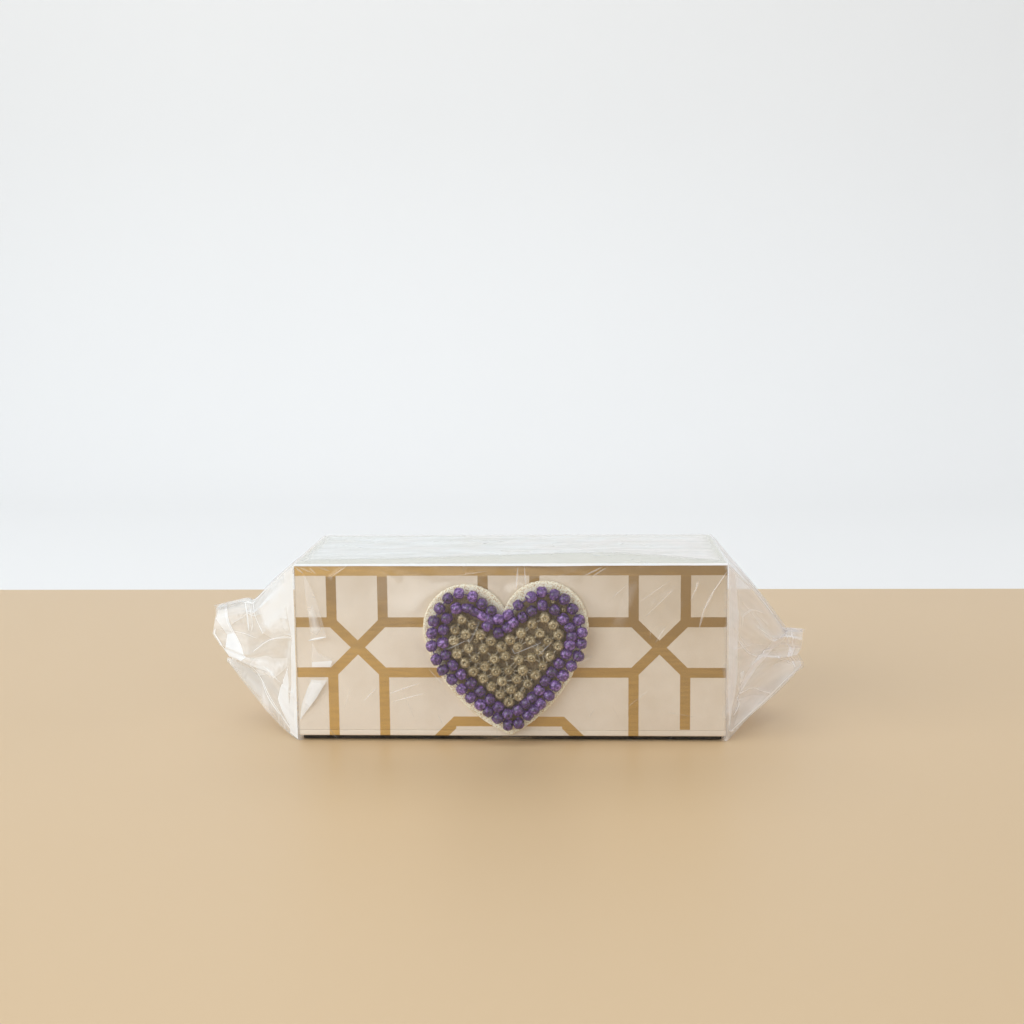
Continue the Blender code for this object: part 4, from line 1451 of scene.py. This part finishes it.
        return [
            # patches of the front whose whitening paints streaks of reflected light on the film
            Facet(self._front((-76.1, 63.7), (-72.5, 56.8), (-70.0, 48.5), (-68.3, 40.5),
                              (-74.1, 39.4), (-74.7, 47.4), (-75.8, 56.3)), 0.20, 0.12),
            Facet(self._front((-73.8, 38.5), (-71.2, 33.8), (-66.1, 31.6), (-66.5, 28.8),
                              (-74.1, 29.1)), 0.2, 0.1),
            Facet(self._front((-74.0, 30.5), (-66.1, 31.3), (-67.0, 28.9), (-74.0, 28.6)), 0.85, 0.1),
            Facet(self._front((-74.4, 23.7), (-68.4, 23.7), (-72.5, 17.0), (-79.3, 8.0),
                              (-78.3, 14.2), (-76.2, 19.8)), 0.65, 0.1),
            Facet(self._front((-75.6, 52.1), (-72.4, 52.1), (-70.5, 45.0), (-69.2, 41.0),
                              (-74.3, 40.3), (-75.1, 46.6)), 0.40, 0.0, 1.5),
            Facet(self._front((-75.5, 23.1), (-68.4, 23.7), (-74.5, 13.1), (-78.5, 10.5)),
                  0.40, 0.0, 1.2),
            Facet(self._front((36.0, 43.5), (42.5, 60.5), (48.5, 62.0), (42.5, 44.0)), 0.16, 0.0, 2.0),
            Facet(self._front((48.5, 48.5), (63.5, 59.0), (65.5, 63.0), (49.5, 53.5)),
                  0.18, 0.0, 1.5),
            Facet(self._front((52.0, 42.5), (64.0, 51.5), (64.0, 54.5), (52.0, 46.0)),
                  0.12, 0.0, 1.5),
            # painted reflection: the top whitens towards its back, where the bright wall is mirrored
            Facet(tuple((x, self._place_on(Side.TOP, y)) for x, y in hill), 0.50, 0.0, 5.0),
            # painted highlights where the film bends round the front's left edge
            Facet(oblong(-82.2, low, -80.3, high), 0.95),
            Facet(oblong(-86.0, low, -82.2, high), 0.50),
            # painted highlight where the film bends over the top front edge
            Facet(oblong(-80.0, edge, 80.0, top), 0.95),
        ]

    def _flat_mesh(self) -> tuple[np.ndarray, np.ndarray]:
        """Triangles of the flat sheet, with an edge along every fold and crease.

        Returns:
            Flat places, and triangles as rows of three numbers.
        """
        points: list[Sequence[float]] = []
        edges: list[tuple[int, int]] = []

        def line(*stops: Sequence[float]) -> None:
            """Add a line through the stops, cut into pieces of about one cell."""
            for start, end in zip(stops, stops[1:]):
                start, end = np.array(start), np.array(end)
                count = max(1, round(float(np.linalg.norm(end - start)) / self.cell))
                first = len(points)
                points.extend(start + (end - start) * share for share in np.linspace(0, 1, count + 1))
                edges.extend((first + index, first + index + 1) for index in range(count))

        left = -self.half_length - self.ends[0].stations[-1]
        right = self.half_length + self.ends[1].stations[-1]
        line((left, 0.0), (right, 0.0), (right, self.round_it), (left, self.round_it), (left, 0.0))
        box_left, box_right = -self.half_length, self.half_length
        line((box_left, 0.0), (box_left, self.round_it))
        line((box_right, 0.0), (box_right, self.round_it))
        for t in self.way_t[1:-1]:
            line((box_left, t), (box_right, t))
        for (times, _), inner, outer in zip(self.end_folds, (box_left, box_right), (left, right)):
            for t in times[1:-1]:
                line((inner, t), (outer, t))
        for crease in self.creases:
            for stops in crease.lines(4 * len(crease.along) - 3):
                line(*stops)
        for facet in self.facets:
            line(*facet.corners, facet.corners[0])
        lines = np.array(points)
        columns = np.arange(left + self.cell / 2, right, self.cell)
        rows = np.arange(self.cell / 2, self.round_it, self.cell)
        grid = np.stack(np.meshgrid(columns, rows), axis=-1).reshape(-1, 2)
        grid += self.draws.uniform(-0.3, 0.3, grid.shape) * self.cell
        low, high = (left + 0.5, 0.5), (right - 0.5, self.round_it - 0.5)
        grid = grid[((grid > low) & (grid < high)).all(axis=1)]
        near = np.zeros(len(grid), bool)
        for block in np.array_split(lines, 24):
            apart = np.abs(grid[:, None, :] - block[None]).max(axis=2)
            near |= (apart < 0.3 * self.cell).any(axis=1)
        everything = [Vector(point) for point in np.concatenate([lines, grid[~near]])]
        flat, _, faces, _, _, _ = delaunay_2d_cdt(everything, edges, [], 0, 1e-4, False)
        return np.array([tuple(point) for point in flat]), np.array(faces)

    def _creased(self, flat: np.ndarray) -> tuple[np.ndarray, np.ndarray]:
        """Rise and whitening of the creases and facets at flat places, the whitening partly painted
        highlight.
        """
        rise, haze_and_painted_highlight = np.zeros(len(flat)), np.zeros(len(flat))
        for facet in self.facets:
            depth = facet.depth(flat)
            rise = np.maximum(rise, facet.rise * np.clip(depth / 1.5, 0.0, 1.0))
            if facet.soft == 0:
                haze_and_painted_highlight = np.where(depth > 0, np.maximum(haze_and_painted_highlight, facet.haze_and_painted_highlight), haze_and_painted_highlight)
        for crease in self.creases:
            near = crease.near(flat)
            rise = np.maximum(rise, crease.rise * near)
            haze_and_painted_highlight = np.where(near > 0.02, np.maximum(haze_and_painted_highlight, crease.haze_and_painted_highlight), haze_and_painted_highlight)
        return rise, haze_and_painted_highlight

    def _veil(self, flat: np.ndarray) -> np.ndarray:
        """Soft whitening at flat places: the ends', weaker behind and underneath, and the soft
        facets', which is partly painted reflection.
        """
        s, t = flat.T
        share = np.where(t > self.way_t[Corner.TOP_FRONT], self.veil_behind, 1.0)
        share = np.where(t < self.way_t[Corner.FOOT_FRONT], self.veil_under, share)
        veil = np.full(len(flat), self.thin_veil)
        for end, beyond in zip(self.ends, self._beyond(s)):
            veil = np.where(beyond > 0, end.veil * share, veil)
        veil[self._is_rubbed(flat)] = 0.0
        for facet in self.facets:
            if facet.soft > 0:
                inward = np.clip(facet.depth(flat) / facet.soft, 0.0, 1.0)
                veil = np.maximum(veil, facet.haze_and_painted_highlight * inward ** 1.3)
        return veil

    def _is_rubbed(self, flat: np.ndarray) -> np.ndarray:
        """Whether flat places lie underneath or in the rubbed strip at the front's foot."""
        on_box = np.abs(flat[:, 0]) < self.half_length
        return on_box & (flat[:, 1] < self._place_on(Side.FRONT, self.rubbed))

    def _shine(self, flat: np.ndarray) -> np.ndarray:
        """How much gloss the film keeps: less where it is rubbed and on the ends' far sides."""
        behind = flat[:, 1] > self.way_t[Corner.TOP_FRONT]
        far_side = behind & (np.abs(flat[:, 0]) > self.half_length)
        on_box_and_ends = np.where(far_side, self.far_shine, 1.0)
        return np.where(self._is_rubbed(flat), self.rubbed_shine, on_box_and_ends)

    def _waves(self, flat: np.ndarray) -> np.ndarray:
        """Slow unevenness of the film between 0 and 1."""
        total = np.zeros(len(flat))
        for _ in range(9):
            turn = self.draws.uniform(0.0, math.pi)
            length = self.draws.uniform(7.0, 26.0)
            phase = self.draws.uniform(0.0, 6.3)
            along = flat @ np.array([math.cos(turn), math.sin(turn)])
            total += np.sin(along * 2 * math.pi / length + phase)
        return np.clip(0.5 + total / 9, 0.0, 1.0)

    def _uneven(self, flat: np.ndarray, faces: np.ndarray) -> np.ndarray:
        """Raise the film's waves, creases and facets.

        Args:
            flat: The flat places.
            faces: Triangles of them, as rows of three numbers.

        Returns:
            World places in millimetres.
        """
        world = self.places(flat)
        corners = world[faces]
        normals = np.cross(corners[:, 1] - corners[:, 0], corners[:, 2] - corners[:, 0])
        smooth = np.zeros_like(world)
        for corner in range(3):
            np.add.at(smooth, faces[:, corner], normals)
        smooth /= np.maximum(np.linalg.norm(smooth, axis=1), 1e-9)[:, None]
        rise, _ = self._creased(flat)
        t = flat[:, 1]
        beyond = np.abs(flat[:, 0]) > self.half_length + 0.5
        under = (t < self.way_t[Corner.FOOT_FRONT]) | (t > self.way_t[Corner.FOOT_BACK])
        on_top = (t > self.way_t[Corner.EDGE_FRONT]) & (t < self.way_t[Corner.TOP_END])
        on_ends, above, on_walls = self.wave_heights
        waves = np.where(beyond, on_ends, np.where(on_top, above, on_walls)) * self._waves(flat)
        world += smooth * np.where(under & ~beyond, 0.0, waves + rise)[:, None]
        world[:, 2] = np.maximum(world[:, 2], self.lowest)
        return world

    def build(self) -> list[Piece]:
        """Make the piece."""
        self.end_folds = [self._end_folds(end) for end in self.ends]
        self.creases = self._placed_creases() + self._seeded_creases()
        self.facets = self._facets()
        for end in self.ends:
            self.creases += end.creases
            self.facets += end.facets
        flat, faces = self._flat_mesh()
        parts = MeshParts()
        parts.add(self._uneven(flat, faces) * MM, faces.tolist())
        piece = parts.piece("film_sheet", ClearFilm().material(), 34.0)
        _, haze_and_painted_highlight = self._creased(flat[faces].mean(axis=1))
        store(piece.data, "haze_and_painted_highlight", "FACE", haze_and_painted_highlight)
        store(piece.data, "veil", "POINT", self._veil(flat))
        store(piece.data, "shine", "POINT", self._shine(flat))
        store(piece.data, "flat", "POINT", np.column_stack([flat, np.zeros(len(flat))]))
        dress(piece, "clear_film", "film_wrap")
        length = 2 * self.half_length + self.ends[0].stations[-1] + self.ends[1].stations[-1]
        length * MM
        return [piece]


@dataclass(frozen=True)
class FilmEnd:
    """One drawn-in end of the film.

    stations: halfway to the neck, the neck, behind it and the cut end, along the film from the
    box. folds: those of the front; the back has the same, a little shifted. over and under: x
    and z of the plain folds above and below, at the stations.
    """

    stations: tuple[float, float, float, float]
    folds: tuple[Fold, ...]
    over: Places
    under: Places
    axis_z: float
    veil: float
    # how white the end's small creases are; the right end's lower value paints it as less lit than the
    # left
    whiteness_and_painted_light: float
    facets: tuple[Facet, ...] = ()
    creases: tuple[Crease, ...] = ()


UPPER_LEFT_PANE = ((-81.5, 106.6), (-80.6, 94.7), (-84.9, 78.8), (-107.2, 81.3), (-109.3, 88.2),
                   (-110.6, 95.4), (-110.2, 103.1), (-96.8, 105.6))
LOWER_LEFT_PANE = ((-118.7, 70.4), (-107.8, 67.7), (-92.6, 70.1), (-92.1, 66.8), (-103.8, 59.4),
                   (-114.5, 43.6), (-122.5, 57.9))
RIGHT_PANE = ((110.4, 105.0), (119.0, 90.2), (113.8, 65.4), (111.0, 54.3), (108.8, 50.8),
              (95.9, 58.1), (99.4, 61.8), (110.2, 67.1))
LEFT_END = FilmEnd(
    stations=(15.5, 31.0, 41.0, 51.5),
    folds=(
        Fold(0.0, ((-90.2, -22, 2.4), (-101.1, -12, 10.2), (-107.9, -7, 16.3), (-114.7, -1, 22.9))),
        Fold(5.0, ((-91.9, -20, 11.0), (-100.2, -6, 16.1), (-104.7, -3, 19.4), (-112.0, -2, 22.9))),
        Fold(20.0, ((-87.7, -24, 19.2), (-95.5, -14, 21.0), (-103.3, -9, 22.5), (-113.0, -5, 25.5))),
        Fold(38.5, ((-85.2, -26, 36.5), (-94.7, -16, 33.0), (-104.5, -8, 26.3), (-116.5, -5, 30.0))),
        Fold(50.0, ((-89.2, -24, 43.8), (-97.8, -14, 36.1), (-106.0, -4, 34.6), (-119.5, -3, 33.6))),
        Fold(59.0, ((-91.7, -20, 51.5), (-101.1, -10, 43.8), (-106.3, -3, 42.5), (-118.9, -1, 39.2))),
        Fold(70.0, ((-92.4, -14, 56.6), (-102.6, -3, 47.1), (-106.2, -1, 47.1), (-118.0, 0, 44.4))),
    ),
    over=((-92.0, 57.6), (-102.6, 47.6), (-106.2, 47.8), (-118.2, 45.0)),
    under=((-90.5, 1.2), (-101.0, 9.4), (-107.6, 15.4), (-114.5, 22.3)),
    axis_z=30.0,
    veil=0.41,
    whiteness_and_painted_light=1.0,
    # patches whose whitening is partly painted highlight and reflection
    facets=(
        Facet(((-127.6, 88.0), (-125.6, 88.5), (-124.1, 81.9), (-122.8, 71.2), (-124.2, 65.0),
               (-131.5, 41.4), (-131.5, 68.3)), 0.90),
        Facet(((-130.8, 118.9), (-127.9, 96.6), (-125.6, 88.5), (-127.6, 88.0), (-129.5, 93.4),
               (-131.5, 98.0)), 0.40),
        Facet(((-121.5, 105.2), (-112.4, 105.7), (-110.9, 97.6), (-116.2, 91.9), (-120.7, 79.8),
               (-121.4, 83.7), (-122.1, 95.3)), 0.50, 0.0, 2.5),
        Facet(UPPER_LEFT_PANE, 0.16),
        Facet(UPPER_LEFT_PANE, 0.76, 0.0, 5.0),
        Facet(((-84.2, 104.4), (-81.4, 95.5), (-86.3, 79.1), (-98.8, 80.2), (-93.3, 91.2),
               (-88.9, 100.1)), 0.85, 0.0, 4.0),
        Facet(((-118.7, 78.5), (-114.2, 79.1), (-108.2, 79.3), (-95.1, 77.1), (-90.4, 70.5),
               (-107.8, 68.1), (-117.8, 71.0)), 0.48, 0.0, 3.0),
        Facet(LOWER_LEFT_PANE, 0.16),
        Facet(LOWER_LEFT_PANE, 0.80, 0.0, 3.0),
        Facet(((-91.6, 65.9), (-95.9, 60.1), (-94.0, 46.9), (-88.5, 42.5), (-84.3, 41.5),
               (-86.6, 51.5), (-89.8, 61.1)), 0.55),
    ),
    creases=(
        Crease(((-110.4, 105.7), (-111.3, 103.6), (-111.3, 95.5), (-110.4, 91.8), (-109.6, 88.4)),
               0.8, 0.1, 0.9),
        Crease(((-118.7, 78.5), (-114.2, 79.1), (-107.8, 80.1), (-86.9, 78.5)), 1.4, 0.1, 0.5),
        Crease(((-90.7, 66.0), (-95.8, 57.3), (-94.0, 46.9), (-88.3, 43.1), (-83.8, 41.3)),
               0.8, 0.07, 0.8),
        Crease(((-112.7, 44.9), (-101.6, 43.1), (-92.9, 41.8), (-84.5, 40.8)), 0.8, 0.07, 0.7),
        Crease(((-122.4, 48.9), (-104.7, 41.8), (-94.3, 41.4)), 0.8, 0.07, 0.4),
        Crease(((-80.6, 106.4), (-94.5, 105.6), (-108.5, 105.7)), 0.9, 0.1, 0.95),
        Crease(((-130.5, 119.9), (-126.7, 120.6), (-121.9, 119.9)), 1.2, 0.07, 0.6),
        Crease(((-121.7, 104.8), (-120.1, 97.5), (-119.9, 89.8)), 0.9, 0.07, 0.6),
        Crease(((-118.2, 104.5), (-115.7, 96.7), (-118.0, 90.1)), 0.7, 0.07, 0.4),
        Crease(((-130.6, 118.6), (-127.8, 95.9), (-125.3, 87.4), (-123.8, 81.0), (-122.9, 71.1)),
               0.8, 0.07, 0.6),
        Crease(((-131.3, 92.1), (-131.2, 77.0), (-131.3, 36.0)), 0.9, 0.07, 0.5),
    ),
)
RIGHT_END = FilmEnd(
    stations=(15.0, 30.0, 38.0, 45.0),
    folds=(
        Fold(0.0, ((89.6, -22, 5.7), (100.2, -9, 10.0), (106.6, -5, 15.3), (112.6, -2, 21.0))),
        Fold(12.0, ((84.0, -28, 12.1), (88.0, -22, 17.1), (102.9, -5, 22.5), (112.3, 0, 22.1))),
        Fold(24.0, ((86.8, -25, 22.5), (95.7, -12, 26.6), (102.2, -8, 25.3), (110.5, -4, 25.5))),
        Fold(34.0, ((87.9, -24, 30.3), (97.3, -7, 28.2), (104.4, -3, 28.5), (112.8, 1, 27.1))),
        Fold(50.0, ((90.9, -20, 41.0), (99.9, -10, 32.5), (105.3, -7, 33.4), (112.5, -3, 31.3))),
        Fold(70.0, ((93.5, -15, 52.3), (106.0, -2, 34.2), (107.3, -1, 34.8), (113.1, 0, 34.0))),
    ),
    over=((93.2, 53.6), (105.6, 35.6), (107.4, 35.8), (113.2, 34.8)),
    under=((89.8, 3.6), (100.4, 9.2), (106.8, 14.4), (112.8, 20.4)),
    axis_z=25.0,
    veil=0.46,
    whiteness_and_painted_light=0.5,
    # patches whose whitening is partly painted highlight and reflection
    facets=(
        Facet(((80.4, 104.8), (83.0, 104.4), (85.1, 94.6), (86.8, 84.2), (89.7, 65.6),
               (90.4, 53.6), (81.4, 43.0), (80.4, 71.4)), 0.42),
        Facet(RIGHT_PANE, 0.25),
        Facet(RIGHT_PANE, 0.70, 0.0, 2.5),
        Facet(((116.6, 123.9), (124.3, 101.4), (125.1, 46.2), (122.1, 45.0), (121.3, 70.2)),
              0.60, 0.0, 2.0),
        Facet(((92.8, 65.0), (96.3, 65.2), (97.4, 60.2), (94.4, 59.7)), 0.75),
        Facet(((95.9, 58.1), (110.7, 39.8), (96.5, 39.7), (86.1, 42.1), (100.4, 50.7)), 0.12),
    ),
    creases=(
        Crease(((82.9, 104.9), (84.7, 95.6), (86.8, 84.2), (88.1, 78.8)), 0.8, 0.07, 0.6),
        Crease(((81.0, 103.1), (83.0, 88.9), (84.5, 71.7), (84.8, 54.2)), 0.7, 0.07, 0.35),
        Crease(((87.9, 72.0), (88.9, 59.7), (82.4, 43.0)), 0.7, 0.07, 0.5),
        Crease(((80.4, 105.4), (88.4, 104.7), (96.1, 104.9), (102.6, 106.1), (110.7, 123.5)),
               0.8, 0.1, 0.75),
        Crease(((116.8, 100.3), (111.4, 86.9), (110.2, 67.1), (102.4, 62.5), (105.6, 54.0),
                (100.6, 49.9), (87.9, 46.4)), 0.9, 0.1, 0.7),
        Crease(((88.3, 78.9), (94.0, 75.8), (102.0, 72.0), (112.4, 63.0), (118.7, 64.3),
                (121.5, 48.9)), 0.9, 0.1, 0.5),
        Crease(((117.9, 98.3), (122.3, 68.5), (122.8, 43.1)), 0.9, 0.1, 0.65),
        Crease(((120.6, 101.9), (122.7, 76.3), (124.0, 49.8)), 0.8, 0.07, 0.4),
        Crease(((124.6, 40.2), (118.0, 40.4), (111.3, 40.2), (96.2, 40.2), (83.5, 41.4)),
               0.7, 0.07, 0.35),
        Crease(((111.4, 40.8), (110.3, 43.8), (110.5, 48.5), (96.4, 58.6)), 0.8, 0.07, 0.4),
        Crease(((89.3, 85.0), (88.8, 90.1), (93.0, 95.4), (99.1, 99.9)), 0.9, 0.07, 0.22),
    ),
)


@dataclass
class Studio:
    """Table, the pale sweep behind it, lights and camera, in metres and degrees."""

    floor: StageFinish = StageFinish("table_top", paint(214, 186, 147), 0.4)
    sweep: StageFinish = StageFinish("backdrop", paint(241, 242, 243))
    table_end: float = 0.26
    sweep_bend: float = 0.62          # where the sweep starts to rise
    sweep_radius: float = 0.35
    half_width: float = 1.6
    near_y: float = -0.62
    wall_height: float = 1.5
    aim: tuple[float, float, float] = (0.0, 0.0, 0.03)
    room_colour: Colour = (0.95, 0.98, 1.0)
    room_strength: float = 0.36
    camera_at: tuple[float, float, float] = (0.0242, -0.5564, 0.1599)
    camera_yaw: float = 2.53
    camera_down: float = 8.0
    camera_roll: float = -0.55
    focal_px: float = 1440.0
    # Name, place, size, watts and colour
    lamps: tuple[tuple[str, Colour, tuple[float, float], float, Colour], ...] = (
        ("window", (-0.95, -0.80, 0.58), (1.5, 1.0), 13.2, (0.96, 0.99, 1.0)),
        ("room", (0.75, -1.0, 0.60), (1.2, 0.9), 3.2, (1.0, 1.0, 1.0)),
        ("above", (0.0, -0.1, 1.2), (1.2, 0.7), 2.4, (0.96, 0.99, 1.0)),
        ("behind", (-0.15, 0.75, 1.0), (1.4, 0.6), 3.4, (1.0, 1.0, 1.0)),
        ("side", (1.05, 0.1, 0.42), (0.9, 0.6), 2.0, (1.0, 0.965, 0.94)))

    def _surface(self, finish: StageFinish, profile: Sequence[tuple[float, float]]) -> None:
        """A wide surface with that profile of (y, z)."""
        parts = MeshParts()
        parts.add([(side * self.half_width, y, z) for y, z in profile for side in (-1, 1)],
                  [(2 * i, 2 * i + 1, 2 * i + 3, 2 * i + 2) for i in range(len(profile) - 1)])
        parts.piece(finish.name, finish.material(), 180.0)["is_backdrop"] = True

    def _add(self, name: str, data: bpy.types.ID, place: Matrix) -> Piece:
        """Put a lamp or a camera in the scene."""
        item = bpy.data.objects.new(name, data)
        item.matrix_world = place
        bpy.context.scene.collection.objects.link(item)
        return item

    def _light_up(self) -> None:
        """Soft area lights that face the box, and the light of the room."""
        for name, place, size, power, colour in self.lamps:
            lamp = bpy.data.lights.new(name, "AREA")
            lamp.shape = "RECTANGLE"
            lamp.size, lamp.size_y = size
            lamp.energy = power
            lamp.color = colour
            turn = (Vector(self.aim) - Vector(place)).to_track_quat("-Z", "Y").to_matrix().to_4x4()
            self._add(name, lamp, Matrix.Translation(place) @ turn).visible_camera = False
        world = bpy.data.worlds.new("soft_room")
        world.use_nodes = True
        background = next(node for node in world.node_tree.nodes if node.type == "BACKGROUND")
        background.inputs["Color"].default_value = (*self.room_colour, 1.0)
        background.inputs["Strength"].default_value = self.room_strength
        bpy.context.scene.world = world
        bpy.context.scene.view_settings.view_transform = "Standard"
        bpy.context.scene.cycles.transparent_max_bounces = 16

    def _place_camera(self) -> None:
        """Put the camera where the photograph was taken from."""
        lens = bpy.data.cameras.new("camera")
        lens.sensor_width = SENSOR
        lens.lens = self.focal_px / IMAGE_SIDE_PX * SENSOR
        lens.clip_start = 0.01
        turns = ((self.camera_yaw, "Z"), (90.0 - self.camera_down, "X"), (self.camera_roll, "Z"))
        place = Matrix.Translation(self.camera_at)
        for angle, axis in turns:
            place = place @ Matrix.Rotation(math.radians(angle), 4, axis)
        bpy.context.scene.camera = self._add("camera", lens, place)

    def build(self) -> None:
        """Set the stage."""
        self._place_camera()
        radius = self.sweep_radius
        rising = [(self.sweep_bend + radius * math.sin(turn), radius * (1.0 - math.cos(turn)))
                  for turn in np.linspace(0.0, math.pi / 2, 17)]
        self._surface(self.floor, [(self.near_y, 0.0), (self.table_end, 0.0)])
        self._surface(self.sweep, [(self.table_end, 0.0), *rising,
                                   (self.sweep_bend + radius, self.wall_height)])
        self._light_up()


def main() -> list[list[float]]:
    """Build the scene.

    Returns:
        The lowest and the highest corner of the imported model.
    """
    logging.basicConfig(level=logging.INFO, format="%(message)s")
    packed = [list(corner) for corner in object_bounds()]
    Studio().build()
    sizes = BoxSizes.from_frame()
    form = HeartForm(sizes)
    felt_low, felt_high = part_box("heart_backing")
    for part in (BoardBox(sizes), FeltHeart(form, felt_high.y, felt_low.y), BeadWork(felt_low.y),
                 FilmWrap(sizes, form)):
        for piece in part.build():
            log.info("%s: %d faces", piece.name, len(piece.data.polygons))
    return packed


if __name__ == "__main__":
    packed_box = main()
